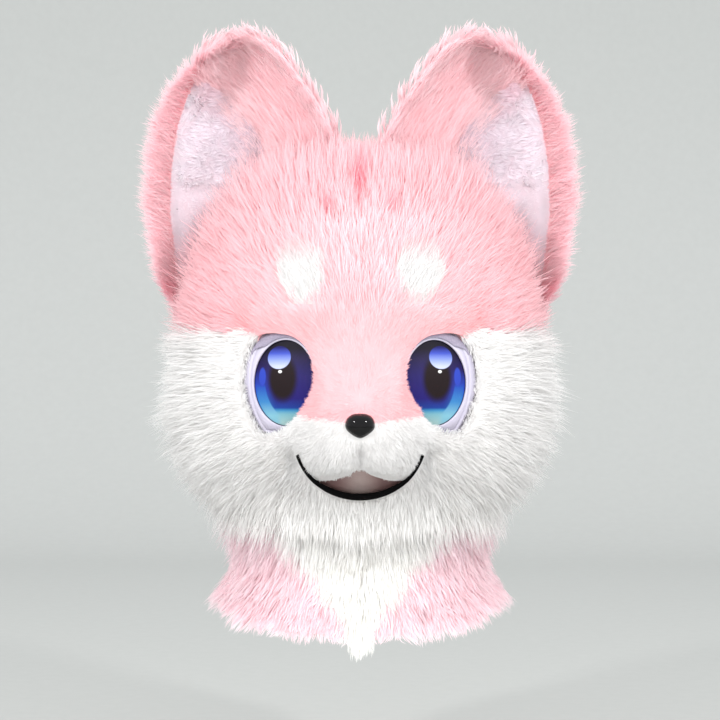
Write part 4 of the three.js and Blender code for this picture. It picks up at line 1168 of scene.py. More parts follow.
# %% [markdown]
# The lining is a half moon of pale plush, sewn in beside the outer rim. Its inner side has no hard
# edge, because the long fur of the ear's inner half lies over it.

# %% Ear zones
SEAM_ACROSS = 0.87  # the seam between the lining and the fur of the rim
LINING_INNER = [
    {"level": 0.13, "across": 0.88},
    {"level": 0.20, "across": 0.66},
    {"level": 0.30, "across": 0.44},
    {"level": 0.40, "across": 0.22},
    {"level": 0.49, "across": 0.02},
    {"level": 0.58, "across": -0.08},
    {"level": 0.70, "across": 0.02},
    {"level": 0.80, "across": 0.38},
    {"level": 0.88, "across": 0.88},
]


def in_lining(up, across, lap=0.0):
    inner = column(LINING_INNER, "across", up) - lap
    return (up > 0.13) & (up < 0.88) & (across > inner) & (across < SEAM_ACROSS)


def above_skull(points, gap=0.0):
    """True where a point of the ear lies outside the fur-covered head."""
    return np.linalg.norm(points - HEAD_CENTRE, axis=-1) > skin_radius(way_to(points)) + gap


EAR_ROWS = 46
EAR_COLUMNS = 40
EAR_FUR_HALF = 0.0055  # half the thickness of the ear with its fur's backing
ear_up, ear_across = grid(np.linspace(0, 1, EAR_ROWS), np.linspace(-1, 1, EAR_COLUMNS))


def ear_shell(sign):
    """The front (1) or back (-1) face of the ear, which meet in a round edge."""
    edge = np.maximum(np.abs(ear_across), smooth(ear_up, 0.9, 1.0))
    thick = EAR_FUR_HALF * np.sqrt(np.clip(1 - edge**8, 0, 1))
    return ear_point(ear_up, ear_across, thick * sign).reshape(-1, 3)


ear_front, ear_back = ear_shell(1), ear_shell(-1)
ear_cells = quads(EAR_ROWS, EAR_COLUMNS)
ear_normals = ear_normal(ear_up, ear_across).reshape(-1, 3)
ear_front_cells = ear_cells[above_skull(ear_front[ear_cells].mean(1), -0.012)]
print("ear cells:", len(ear_front_cells))

# %% [markdown]
# The fur stands in four ways. Round the rim it points straight out from the seam. On the inner
# half it runs up and fans out over the lining. The back is combed up. Inside, the lining is short
# plush that stands almost straight.

# %% Ear hair
EAR_HAIR = [
    {"part": "rim", "hairs": 6200, "length": 0.034, "lift": 20, "width": 0.75},
    {"part": "inner", "hairs": 6000, "length": 0.032, "lift": 26, "width": 0.85},
    {"part": "wisps", "hairs": 1000, "length": 0.040, "lift": 22, "width": 0.55},
    {"part": "edge", "hairs": 2200, "length": 0.024, "lift": 24, "width": 0.8},
    {"part": "back", "hairs": 2500, "length": 0.028, "lift": 24, "width": 2.2},
]


def ear_roots(part, count, rng):
    """Places on the ear, as its two shares, with the normal there and the way the hair runs."""
    tries = count * 6
    up = rng.uniform(0, 1, tries)
    across = rng.uniform(-1, 1, tries)
    if part == "rim":
        across = rng.uniform(SEAM_ACROSS - 0.035, 1, tries)
        up = rng.uniform(0.02, 1, tries)
    if part == "edge":
        across = rng.uniform(-1, -0.86, tries)
    if part == "wisps":
        up = rng.uniform(0.2, 0.84, tries)
        across = column(LINING_INNER, "across", up) + rng.uniform(-0.16, 0.05, tries)
    if part == "inner":
        keep = (across < SEAM_ACROSS) & ~in_lining(up, across, -0.03)
    else:
        keep = np.ones(tries, bool)
    up, across = up[keep], across[keep]
    sign = -1 if part == "back" else 1
    edge = np.maximum(np.abs(across), smooth(up, 0.9, 1.0))
    points = ear_point(up, across, sign * EAR_FUR_HALF * np.sqrt(np.clip(1 - edge**8, 0, 1)))
    normals = ear_normal(up, across) * sign
    along, over = ear_slopes(up, across)
    if part == "rim":
        crest = smooth(up, 0.86, 1.0)[:, None]
        flow = over * (1 - crest) + along * crest + along * 0.22
    elif part == "edge":
        flow = along * 0.9 - over * 0.5
    elif part in ("inner", "wisps"):
        fan = smooth(across, -0.9, 0.4)[:, None]
        flow = along * (1 - 0.35 * fan) + over * (0.95 * fan - 0.12)
        low = smooth(0.40 - up, 0, 0.3)[:, None]
        flow = flow * (1 - low) + low * (over * 0.9 + along * 0.25)
    else:
        flow = along * 0.9 + over * across[:, None] * 0.55
    clear = above_skull(points, -0.004)
    found = [points[clear][:count], normals[clear][:count], flow[clear][:count]]
    return found, up[clear][:count], across[clear][:count]


print("hairs on each ear:", sum(row["hairs"] for row in EAR_HAIR))

# %% [markdown]
# Along the seam the hairs part, and painted shade deepens the pink there and at the foot of the
# rim. The skin of the ear takes the colours of its hair, so that nothing pale shows between them.
# Both ears are grown from the same random draws, and the right one is the left one mirrored.

# %% Grow the fur of the ears
def ear_colour(up, across):
    """Root and tip colours of the front, with painted shade along the seam and at the foot of the rim."""
    seam_shade = np.exp(-(((across - SEAM_ACROSS) / 0.022) ** 2)) * smooth(up, 0.02, 0.1)
    seam_shade = seam_shade * (0.55 + 0.45 * smooth(up, 0.6, 0.85))
    foot = np.exp(-(((up - 0.11) / 0.035) ** 2)) * smooth(across, 0.7, 0.85)
    # Painted shade: the seam and the foot of the rim are deepened towards a shaded pink
    deep = np.clip(0.8 * seam_shade + foot, 0, 1)
    rim = 0.08 * smooth(across, SEAM_ACROSS - 0.02, SEAM_ACROSS)
    root = between(EAR_ROOT, PINK_SHADE, deep)
    return root, between(EAR_TIP, srgb(253, 190, 202), np.clip(rim + 0.4 * deep, 0, 1))


def mirrored(points, side):
    return points * [side, 1, 1]


def ear_shell_colours():
    """Colours of the skin of the ear, for the points of its front and back that cells use."""
    root, tip = ear_colour(ear_up.ravel(), ear_across.ravel())
    plain = ear_pink(ear_back)
    root, tip = np.concatenate([root, plain[0]]), np.concatenate([tip, plain[1]])
    used = np.unique(np.concatenate([ear_front_cells, ear_front_cells + len(ear_front)]))
    return root[used], tip[used]


SIDES = ((1, "left"), (-1, "right"))
for side, label in SIDES:
    rng = np.random.default_rng(40)
    roots, normals, flows, lengths, lifts, widths, deeps, pales = ([] for _ in range(8))
    for row in EAR_HAIR:
        count = int(row["hairs"] * HAIR_SHARE)
        (p, n, f), up, across = ear_roots(row["part"], count, rng)
        shade = ear_colour(up, across) if row["part"] != "back" else ear_pink(p)
        if row["part"] == "wisps":
            shade = [between(tone, LILAC_TIP, 0.45 * rng.random(len(p))) for tone in shade]
        short = 1 - 0.35 * smooth(0.25 - up, 0, 0.25)
        roots.append(p)
        normals.append(n)
        flows.append(f)
        lengths.append(row["length"] * short)
        lifts.append(np.full(len(p), math.radians(row["lift"])))
        widths.append(np.full(len(p), row["width"] * WIDTH_UNIT))
        deeps.append(shade[0])
        pales.append(shade[1])
    roots, normals, flows = (mirrored(np.concatenate(v), side) for v in (roots, normals, flows))
    width = np.concatenate(widths)[:, None]
    hair = grow(
        roots - normals * ROOT_SINK,
        normals,
        along_surface(flows, normals),
        np.concatenate(lengths),
        np.concatenate(lifts),
        rng,
        width,
        3,
        0.22,
        shortest=0.6,
    )
    shell_points = np.concatenate([mirrored(ear_front, side), mirrored(ear_back, side)])
    shell_faces = np.concatenate([ear_front_cells, ear_front_cells[:, ::-1] + len(ear_front)])
    shell_faces = shell_faces if side > 0 else shell_faces[:, ::-1]
    shell_normals = np.concatenate([mirrored(ear_normals, side), -mirrored(ear_normals, side)])
    hair_colours = (np.concatenate(deeps), np.concatenate(pales))
    shell_colours = ear_shell_colours()

    def colours(points, count=len(roots)):
        return hair_colours if len(points) == count else shell_colours

    skin = (shell_points, shell_faces, shell_normals)
    fur_piece(f"ear_fur_{label}", skin, roots, hair, colours, "ear_fur", f"ear_{label}", 50, 0.8)

# %% [markdown]
# The lining is a sheet of its own, a little proud of the ear, with one soft crease across it where
# the fabric turns into the lower corner. Above the crease the plush is brushed up, and painted shade
# makes it greyer; below it lies smooth.

# %% Ear lining
def lilac(points):
    """Colours of the lining: pinker towards its inner side, where the long fur begins; painted shade
    above the crease.
    """
    share_up = (points[:, 2] - EAR_FOOT_Z) / (EAR_TIP_Z - EAR_FOOT_Z)
    inner, outer = ear_edge("inner", share_up), ear_edge("outer", share_up)
    across = (2 * np.abs(points[:, 0]) - inner - outer) / (outer - inner)
    near = 1 - smooth(across - column(LINING_INNER, "across", share_up), -0.05, 0.42)
    # Painted shade: the brushed-up plush above the crease is greyer towards the inner side
    brushed_shade = 0.42 * smooth(share_up, 0.5, 0.6) * (1 - smooth(across, 0.2, 0.75))
    root = between(LILAC_ROOT, srgb(238, 208, 219), near)
    tip = between(LILAC_TIP, srgb(249, 231, 238), near)
    return between(root, srgb(204, 194, 204), brushed_shade), between(tip, srgb(206, 194, 203), brushed_shade)


LINING_PROUD = 0.0045
CREASE_UP = 0.49
LINING_HAIRS = 7000


def lining_out(up, across):
    crease = np.exp(-(((up - CREASE_UP) / 0.010) ** 2)) * smooth(across, -0.1, 0.2)
    roll = np.exp(-(((up - CREASE_UP - 0.035) / 0.025) ** 2))
    puff = 0.0022 * np.sin(up * 21 + across * 3) * smooth(up, 0.5, 0.6)
    edge = smooth(SEAM_ACROSS - across, 0, 0.07)
    return EAR_FUR_HALF + (LINING_PROUD + 0.003 * roll - 0.0045 * crease + puff) * edge - 0.001


lining_up, lining_across = grid(np.linspace(0.13, 0.88, 48), np.linspace(0, 1, 26))
lining_low = column(LINING_INNER, "across", lining_up) - 0.16
lining_across = lining_low + (SEAM_ACROSS + 0.012 - lining_low) * lining_across
lining_points = ear_point(lining_up, lining_across, lining_out(lining_up, lining_across)).reshape(-1, 3)
lining_cells = quads(*lining_up.shape)
lining_cells = lining_cells[above_skull(lining_points[lining_cells].mean(1), 0.0)]

for side, label in SIDES:
    rng = np.random.default_rng(60)
    roots = scatter(lining_points, lining_cells, 1.0, int(LINING_HAIRS * HAIR_SHARE), rng)
    share_up = (roots[:, 2] - EAR_FOOT_Z) / (EAR_TIP_Z - EAR_FOOT_Z)
    inner, outer = ear_edge("inner", share_up), ear_edge("outer", share_up)
    share_across = np.clip((2 * roots[:, 0] - inner - outer) / (outer - inner), -1, 1)
    normals = ear_normal(share_up, share_across)
    along, over = ear_slopes(share_up, share_across)
    wave = np.sin(roots[:, 0] * 260) * np.cos(roots[:, 2] * 210)
    flow = along * (0.5 * wave)[:, None] - over * 0.8
    high = smooth(share_up, CREASE_UP, CREASE_UP + 0.05)
    hair = grow(
        mirrored(roots - normals * ROOT_SINK, side),
        mirrored(normals, side),
        mirrored(flow, side),
        0.0055 + 0.0035 * high,
        np.radians(30 + 22 * high),
        rng,
        0.85 * WIDTH_UNIT,
        2,
        0.6,
        0.3,
        messy=0.5,
    )
    faces = lining_cells if side > 0 else lining_cells[:, ::-1]
    skin_normals = ear_normal(lining_up, lining_across).reshape(-1, 3)
    skin = (mirrored(lining_points, side), faces, mirrored(skin_normals, side))
    roots = mirrored(roots, side)
    node = f"ear_lining_{label}"
    fur_piece(f"ear_plush_{label}", skin, roots, hair, lilac, "ear_lining", node, 61, 0.35)

# %% [markdown]
# ## Collar
#
# Below the head hangs a flared tube of fur fabric that covers the neck and ends on the shoulders.
# Its lower edge rises at the sides, and the white fur of the chin runs down the front in a V.

# %% Collar form
NECK_CENTRE_Y = 0.014
COLLAR_TOP_Z = -0.2434
COLLAR_BOTTOM_Z = -0.362
COLLAR_FRONT_Z = -0.350
COLLAR_SIDE_Z = -0.318
COLLAR_HALF_WIDTH = 0.148
COLLAR_CLOTH = 0.0015  # the cloth lies this far from the frame's own surface
COLLAR_SKIN = 0.006
COLLAR_SECTIONS = [
    {"level": 0.0, "side": 0.64, "front": 0.54, "back": 0.68},
    {"level": 0.2, "side": 0.64, "front": 0.54, "back": 0.68},
    {"level": 0.4, "side": 0.67, "front": 0.58, "back": 0.70},
    {"level": 0.58, "side": 0.74, "front": 0.66, "back": 0.76},
    {"level": 0.76, "side": 0.86, "front": 0.77, "back": 0.86},
    {"level": 0.9, "side": 0.95, "front": 0.85, "back": 0.94},
    {"level": 1.0, "side": 1.0, "front": 0.89, "back": 0.98},
]


def rounded(key, level):
    """A column of the collar's table, rounded off by a mean over nearby levels."""
    offsets = np.linspace(-0.09, 0.09, 7)
    return np.mean([column(COLLAR_SECTIONS, key, np.clip(level + d, 0, 1)) for d in offsets], 0)


def collar_point(turn, level, out):
    ahead = smooth(np.cos(turn), -0.12, 0.12)
    depth = rounded("front", level) * ahead + rounded("back", level) * (1 - ahead)
    x = np.sin(turn) * (COLLAR_HALF_WIDTH * rounded("side", level) + out)
    y = NECK_CENTRE_Y - np.cos(turn) * (COLLAR_HALF_WIDTH * depth + out)
    z = COLLAR_TOP_Z + (COLLAR_BOTTOM_Z - COLLAR_TOP_Z) * level
    return np.stack(np.broadcast_arrays(x, y, z), -1)


def collar_edge(turn):
    """The level at which the collar ends, all the way round."""
    level = np.full(np.shape(turn), 0.8)
    for _ in range(12):
        reach = np.abs(collar_point(turn, level, 0)[..., 0])
        z = COLLAR_FRONT_Z + (COLLAR_SIDE_Z - COLLAR_FRONT_Z) * np.clip(reach / 0.132, 0, 1) ** 4
        tip = np.exp(-((reach / 0.010) ** 2)) * smooth(np.cos(turn), 0, 0.5)
        z = z + (COLLAR_BOTTOM_Z - COLLAR_FRONT_Z) * tip
        level = (z - COLLAR_TOP_Z) / (COLLAR_BOTTOM_Z - COLLAR_TOP_Z)
    return level


def collar_grid(out, rows=22, columns=120, short=0.0):
    around = np.linspace(-math.pi, math.pi, columns, endpoint=False)
    share, turn = grid(np.linspace(0, 1, rows), around)
    level = share * (collar_edge(turn) - short)
    return turn, level, collar_point(turn, level, out)


def grid_slopes(points):
    """The normals of a grid that closes on itself, from its neighbours."""
    across = np.roll(points, -1, 1) - np.roll(points, 1, 1)
    return unit(np.cross(across, np.gradient(points, axis=0)))


turn, level, points = collar_grid(COLLAR_SKIN, short=0.02)
collar_skin_normals = grid_slopes(points)
if (collar_skin_normals[10, 60] * [0, -1, 0]).sum() < 0:
    collar_skin_normals = -collar_skin_normals
collar_faces = quads(*turn.shape, closed=True)
collar_points = points.reshape(-1, 3)
collar_skin_normals = collar_skin_normals.reshape(-1, 3)
print("collar from", np.round(collar_points.min(0) / MM), "to", np.round(collar_points.max(0) / MM))

# %% [markdown]
# The V of white fur narrows downwards. Its half width at each level is a short table, and the same
# roots as on the pink collar are simply given to the other piece inside it.

# %% Collar hair
BIB_WIDTH = [
    {"level": -0.375, "half": 0.004},
    {"level": -0.350, "half": 0.010},
    {"level": -0.328, "half": 0.015},
    {"level": -0.309, "half": 0.031},
    {"level": -0.289, "half": 0.041},
    {"level": -0.256, "half": 0.060},
    {"level": -0.240, "half": 0.066},
]
COLLAR_FUR = [
    {"name": "neck_fur", "node": "collar_fur", "bib": False, "hairs": 14600, "width": 1.05},
    {"name": "throat_fur", "node": "bib_fur", "bib": True, "hairs": 6000, "width": 0.85},
]


def collar_normal(points, step=0.02):
    """The way out of the collar at points on it."""
    turn = np.arctan2(points[:, 0], NECK_CENTRE_Y - points[:, 1])
    level = (points[:, 2] - COLLAR_TOP_Z) / (COLLAR_BOTTOM_Z - COLLAR_TOP_Z)
    down = collar_point(turn, level + step, 0) - collar_point(turn, level - step, 0)
    across = collar_point(turn + step, level, 0) - collar_point(turn - step, level, 0)
    out = unit(np.cross(across, down))
    outwards = ((points - [0, NECK_CENTRE_Y, 0]) * out * [1, 1, 0]).sum(1)
    return out * np.sign(outwards)[:, None]


def in_bib(points):
    return (np.abs(points[:, 0]) < column(BIB_WIDTH, "half", points[:, 2])) & (points[:, 1] < 0)


def neck_pink(points):
    """The palest pink, for the neck."""
    root, tip = srgb(255, 226, 230), srgb(255, 236, 240)
    return np.tile(root, (len(points), 1)), np.tile(tip, (len(points), 1))


collar_centre = collar_points[collar_faces].mean(1)
for number, row in enumerate(COLLAR_FUR):
    rng = np.random.default_rng(70 + number)
    own = in_bib(collar_centre) == row["bib"]
    near = 1 + 1.6 * smooth(-collar_centre[:, 1], -0.03, 0.05)
    count = int(row["hairs"] * HAIR_SHARE)
    roots = scatter(collar_points, collar_faces, near, count * (9 if row["bib"] else 2), rng)
    roots = roots[in_bib(roots + rng.normal(0, BORDER_MIX, roots.shape)) == row["bib"]][:count]
    normals = collar_normal(roots)
    down = np.tile([0.0, 0.0, -1.0], (len(roots), 1))
    low = smooth(-roots[:, 2], 0.30, 0.35)
    high = smooth(roots[:, 2], -0.295, COLLAR_TOP_Z)
    hair = grow(
        roots - normals * ROOT_SINK,
        normals,
        along_surface(down, normals),
        0.030 - 0.012 * low + 0.020 * high,
        np.radians(30 - 10 * low + 24 * high),
        rng,
        row["width"] * WIDTH_UNIT,
        3,
        0.6,
        sag=0.3,
    )
    skin = (collar_points, collar_faces[own], collar_skin_normals)
    slot, colour = ("white_fur", white) if row["bib"] else ("pink_fur", neck_pink)
    fur_piece(row["name"], skin, roots, hair, colour, slot, row["node"], seed=72)

# %% [markdown]
# ## Backing cloth
#
# Fur fabric is knitted, and its back shows inside the collar and at its hem. The cloth is one
# sheet that closes on itself. Its flat size is measured from the sheet: how long it is round its
# widest edge, and how deep.

# %% Backing cloth
def knit_material():
    parts = new_material("backing_cloth")
    tree = parts[1]
    bands = {"wave_type": "BANDS", "bands_direction": "Z"}
    rows = add(tree, "TexWave", bands, Vector=place_in(tree), Scale=210.0, Distortion=1.2)
    fuzz = noise(tree, 900, 3)
    colour = ramp(tree, fuzz, [(0.3, srgb(225, 222, 216)), (0.7, srgb(244, 242, 238))])
    height = maths(tree, "ADD", rows.outputs["Fac"], fuzz)
    return look(parts, colour, height, 0.4, 0.0006, Roughness=0.9, Sheen_Weight=0.2)


CLOTH_THICKNESS = 0.0012
turn, level, cloth_grid = collar_grid(COLLAR_CLOTH)
cloth_points = cloth_grid.reshape(-1, 3)
cloth_faces = quads(*turn.shape, closed=True)
knit = knit_material()
cloth = build("collar_backing", cloth_points, [cloth_faces], knit, "collar_cloth")
solid = cloth.modifiers.new("thickness", "SOLIDIFY")
solid.thickness = CLOTH_THICKNESS
solid.offset = 0

around = np.linalg.norm(np.roll(cloth_grid, -1, 1) - cloth_grid, axis=-1).sum(1)
depth = np.linalg.norm(np.diff(cloth_grid, axis=0), axis=-1).sum(0)
corners = cloth_points[cloth_faces]

# %% [markdown]
# ## Foam base
#
# The hollow inside is bare upholstery foam, and it shows from below. The frame's solid is faceted,
# so a copy of it is rebuilt with an even grid of small cells and smoothed. Behind the mouth and the
# eyes it is carved back, as a maker does with scissors, so that it can't be seen from the front.

# %% Foam
def foam_material():
    parts = new_material("foam")
    tree = parts[1]
    pores = cells(tree, 620)
    base = ramp(tree, noise(tree, 14, 4), [(0.3, srgb(226, 220, 205)), (0.7, srgb(240, 236, 226))])
    # Painted shade: the pores are darker, because shade falls into them
    colour = mix(tree, 1.0, base, ramp(tree, pores, [(0.05, 0.86), (0.5, 1.0)]), "MULTIPLY")
    return look(parts, colour, pores, 0.5, 0.0008, Roughness=0.95)


FOAM_CELL = 0.0072
FOAM_POCKET = 0.012  # the foam is carved this much deeper behind the mouth and round the eyes
foam = bpy.data.objects.new("foam_base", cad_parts["head_base"].data.copy())
bpy.context.scene.collection.objects.link(foam)
remesh = foam.modifiers.new("cells", "REMESH")
remesh.mode = "VOXEL"
remesh.voxel_size = FOAM_CELL
rounding = foam.modifiers.new("smooth", "SMOOTH")
rounding.iterations = 6
evaluated = foam.evaluated_get(bpy.context.evaluated_depsgraph_get())
foam.data = bpy.data.meshes.new_from_object(evaluated)
foam.modifiers.clear()
places = np.zeros(len(foam.data.vertices) * 3)
foam.data.vertices.foreach_get("co", places)
places = places.reshape(-1, 3)
ahead = places[:, 1] < -0.05
behind_mouth = in_mouth(places[:, 0], places[:, 2], 0.004) & ahead & (np.abs(places[:, 0]) < 0.06)
behind_eye = (eye_level(places) < 1.16) & (places[:, 1] < -0.02)
places[:, 1] += FOAM_POCKET * (behind_mouth | behind_eye)
foam.data.vertices.foreach_set("co", places.ravel())
foam.data.shade_smooth()
foam.data.materials.clear()
foam.data.materials.append(foam_material())
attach(foam, "root")
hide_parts("head_base")
TRIANGLES["foam_base"] = sum(len(p.vertices) - 2 for p in foam.data.polygons)
print("foam_base", TRIANGLES["foam_base"], "triangles")

# %% [markdown]
# ## Eyes
#
# Each eye is a shallow plastic bowl with an oval window. A thin groove runs round near its edge,
# where the inner cup is set into the outer rim. The window holds printed mesh that the wearer sees
# through.

# %% Eye bowl
IRIS_HALF_WIDTH = 0.0282
IRIS_HALF_HEIGHT = 0.0365
IRIS_SHIFT = 0.0004
GROOVE_INSET = 0.0012
EYE_AROUND = 128


def dome(x, z):
    """How far back the eye's front surface lies at a place in the eye's own plane."""
    return EYE_DOME_RADIUS - np.sqrt(EYE_DOME_RADIUS**2 - x**2 - z**2)


def window_reach(angle):
    """How far the window's edge is from the eye's middle, at an angle in degrees."""
    a = np.radians(np.linspace(0, 360, 721))
    x, z = IRIS_HALF_WIDTH * np.cos(a) - IRIS_SHIFT, IRIS_HALF_HEIGHT * np.sin(a)
    seen = np.degrees(np.arctan2(z, x)) % 360
    order = np.argsort(seen)
    return np.interp(angle % 360, seen[order], np.hypot(x, z)[order], period=360)


eye_angle = np.linspace(0, 360, EYE_AROUND, endpoint=False)
reach_in = window_reach(eye_angle)
reach_out = eye_reach(eye_angle)
reach_groove = np.maximum(reach_out - GROOVE_INSET, reach_in + 0.0022)
# Rings of the bowl: which reach they start from, how far beyond it, and how far back they lie
BOWL_RINGS = [
    {"from": reach_in, "out": 0.0004, "back": 0.0032},
    {"from": reach_in, "out": 0.0000, "back": 0.0012},
    {"from": reach_in, "out": 0.0003, "back": 0.0003},
    {"from": reach_in, "out": 0.0011, "back": 0.0000},
    {"from": reach_groove, "out": -0.0009, "back": 0.0000},
    {"from": reach_groove, "out": -0.0002, "back": 0.0008},
    {"from": reach_groove, "out": 0.0002, "back": 0.0008},
    {"from": reach_groove, "out": 0.0008, "back": -0.0006},
    {"from": reach_groove, "out": 0.0030, "back": -0.0004},
    {"from": reach_out, "out": 0.0030, "back": 0.0004},
    {"from": reach_out, "out": 0.0062, "back": 0.0014},
    {"from": reach_out, "out": 0.0096, "back": 0.0046},
    {"from": reach_out, "out": 0.0120, "back": 0.0130},
]


def eye_ring(row):
    reach = row["from"] + row["out"]
    x, z = reach * np.cos(np.radians(eye_angle)), reach * np.sin(np.radians(eye_angle))
    return np.stack([x, dome(x, z) + row["back"], z], -1)


print("rings in a bowl:", len(BOWL_RINGS))

# %% [markdown]
# Such bowls are formed from thin plastic sheet, here a pale lilac grey with a silky face. One set of
# rings gives both bowls, and a helper builds the right one as the mirror image of the left one.

# %% Build the bowls
def plastic_material():
    parts = new_material("eye_white")
    tree = parts[1]
    colour = ramp(tree, noise(tree, 40, 2), [(0.3, srgb(170, 165, 181)), (0.7, srgb(177, 173, 187))])
    return look(parts, colour, noise(tree, 1500, 1), 0.08, 0.0002, Roughness=0.42)


def build_pair(name, points, faces, material, node):
    """Builds a part of both eyes, the right one mirrored, and gives the two pieces."""
    pieces = []
    for side, label in SIDES:
        placed = from_eye(points, side)
        turned = faces if side > 0 else faces[:, ::-1]
        pieces.append(build(f"{name}_{label}", placed, [turned], material, f"{node}_{label}"))
    return pieces


bowl_points = np.stack([eye_ring(row) for row in BOWL_RINGS]).reshape(-1, 3)
bowl_faces = quads(len(BOWL_RINGS), EYE_AROUND, closed=True)[:, ::-1]
build_pair("eye_bowl", bowl_points, bowl_faces, plastic_material(), "eye_white")

# %% [markdown]
# ## Printed iris
#
# The print is drawn with nodes, so it stays sharp at any distance. A flat map gives each place on
# the mesh its share across and up, both from -1 to 1, and simple shapes are laid over each other:
# a gradient from black through blue to sea green, a pupil, a round highlight, a small spark that
# is a painted highlight of a lamp's reflection, and a bar of light that runs on into a crescent.

# %% Iris material
INK = 0.66  # how dark the print is as a whole


def iris_material():
    parts = new_material("iris_mesh")
    tree = parts[1]
    uv = add(tree, "UVMap", {"uv_map": "eye"}).outputs["UV"]
    split = add(tree, "SeparateXYZ", Vector=uv)
    u, v = split.outputs["X"], split.outputs["Y"]

    def oval(at_u, at_v, half_u, half_v, soft):
        """1 inside an oval, 0 outside, with a soft edge."""
        du = maths(tree, "DIVIDE", maths(tree, "SUBTRACT", u, at_u), half_u)
        dv = maths(tree, "DIVIDE", maths(tree, "SUBTRACT", v, at_v), half_v)
        away = maths(tree, "ADD", maths(tree, "MULTIPLY", du, du), maths(tree, "MULTIPLY", dv, dv))
        return fade(tree, away, 1 + soft, 1 - soft)

    up = maths(tree, "MULTIPLY_ADD", v, 0.5)
    up.node.inputs[2].default_value = 0.5
    stops = [
        (0.04, srgb(166, 200, 200)),
        (0.14, srgb(126, 184, 198)),
        (0.185, srgb(60, 140, 190)),
        (0.21, srgb(34, 64, 150)),
        (0.32, srgb(40, 32, 116)),
        (0.58, srgb(44, 38, 104)),
        (0.78, srgb(40, 34, 72)),
        (0.90, srgb(22, 18, 32)),
    ]
    colour = ramp(tree, up, stops)
    stops = [
        (0.2, srgb(60, 150, 220)),
        (0.42, srgb(44, 74, 190)),
        (0.66, srgb(36, 26, 84)),
        (0.85, srgb(18, 12, 28)),
    ]
    colour = mix(tree, fade(tree, u, 0.2, 1.0), colour, ramp(tree, up, stops))
    colour = mix(tree, oval(0.04, 0.10, 0.46, 0.52, 0.45), colour, rgba(srgb(34, 24, 26)))
    moon, bite = oval(0.06, -0.04, 0.88, 0.93, 0.05), oval(-0.17, 0.10, 0.80, 0.93, 0.06)
    crescent = maths(tree, "SUBTRACT", moon, bite, True)
    below = fade(tree, v, -0.02, -0.10, "LINEAR")
    outside = fade(tree, u, 0.12, 0.3, "LINEAR")
    crescent = maths(tree, "MULTIPLY", crescent, maths(tree, "MULTIPLY", below, outside))
    stops = [(0.12, srgb(134, 192, 210)), (0.28, srgb(64, 134, 196)), (0.46, srgb(40, 78, 178))]
    colour = mix(tree, crescent, colour, ramp(tree, up, stops))
    colour = mix(tree, oval(0.72, 0.14, 0.12, 0.21, 0.35), colour, rgba(srgb(50, 72, 184)))
    stops = [
        (0.0, srgb(196, 204, 236)),
        (0.35, srgb(140, 158, 222)),
        (0.7, srgb(66, 84, 190)),
        (1.0, srgb(30, 30, 108)),
    ]
    highlight = ramp(tree, fade(tree, v, 0.38, 0.82, "LINEAR"), stops)
    colour = mix(tree, oval(0.18, 0.59, 0.38, 0.265, 0.07), colour, highlight)
    # The small spark is a painted highlight, standing in for a lamp's reflection in the eye
    colour = mix(tree, oval(0.12, 0.265, 0.062, 0.036, 0.3), colour, (0.9, 0.9, 0.9, 1))
    rim = maths(tree, "SUBTRACT", 1.0, oval(0.0, 0.0, 0.985, 0.985, 0.025))
    colour = mix(tree, rim, colour, rgba(srgb(24, 18, 40)))
    weave = cells(tree, 1150, distance="CHEBYCHEV")
    # Painted shade: the holes of the mesh are darker, because the shaded inside of the head shows through
    # them
    holes = ramp(tree, weave, [(0.1, 0.72), (0.34, 1.0)])
    colour = mix(tree, 0.55, colour, mix(tree, 1.0, colour, holes, "MULTIPLY"))
    colour = mix(tree, 1.0, colour, (INK, INK, INK, 1), "MULTIPLY")
    return look(parts, colour, weave, 0.35, 0.0003, Roughness=0.5, Specular_IOR_Level=0.12)


print("the print is inked to", INK, "of full light")

# %% [markdown]
# The mesh itself is a shallow dome behind the window, made of rings from the middle outwards.

# %% Iris
IRIS_RINGS = 24
IRIS_BEHIND = 0.0026
ring_share, ring_angle = grid(np.linspace(0.0, 1.06, IRIS_RINGS), np.radians(eye_angle))
iris_u, iris_v = ring_share * np.cos(ring_angle), ring_share * np.sin(ring_angle)
iris_x, iris_z = iris_u * IRIS_HALF_WIDTH - IRIS_SHIFT, iris_v * IRIS_HALF_HEIGHT
iris_points = np.stack([iris_x, dome(iris_x, iris_z) + IRIS_BEHIND, iris_z], -1).reshape(-1, 3)
iris_faces = quads(IRIS_RINGS, EYE_AROUND, closed=True)[:, ::-1]
shares = np.stack([iris_u.ravel(), iris_v.ravel()], -1)
for iris in build_pair("iris_print", iris_points, iris_faces, iris_material(), "iris"):
    corners = np.zeros(len(iris.data.loops), np.int32)
    iris.data.loops.foreach_get("vertex_index", corners)
    eye_map = iris.data.uv_layers.new(name="eye")
    eye_map.data.foreach_set("uv", shares[corners].astype(np.float32).ravel())

# %% [markdown]
# A narrow lid of grey felt lies over the top of each bowl, where the fur shades it; its grey is
# painted shade. It is a strip between two arcs, bent over the dome, a millimetre proud of it, with a
# rounded lower edge.

# %% Eyelids
LID_LAP = 0.0030  # how far the lid reaches over the rim of the bowl
LID_FROM, LID_TO = 38, 150  # degrees round the bowl that the lid covers
LID_RINGS = [
    {"share": 0.00, "proud": -0.0002},
    {"share": 0.06, "proud": 0.0010},
    {"share": 0.30, "proud": 0.0014},
    {"share": 0.70, "proud": 0.0014},
    {"share": 1.00, "proud": 0.0006},
    {"share": 1.06, "proud": -0.0012},
]


def felt_material(name, dark, light, roughness, shine):
    parts = new_material(name)
    fibre = noise(parts[1], 700, 4)
    colour = ramp(parts[1], fibre, [(0.3, dark), (0.7, light)])
    return look(parts, colour, fibre, 0.5, 0.0004, Roughness=roughness, Specular_IOR_Level=shine)


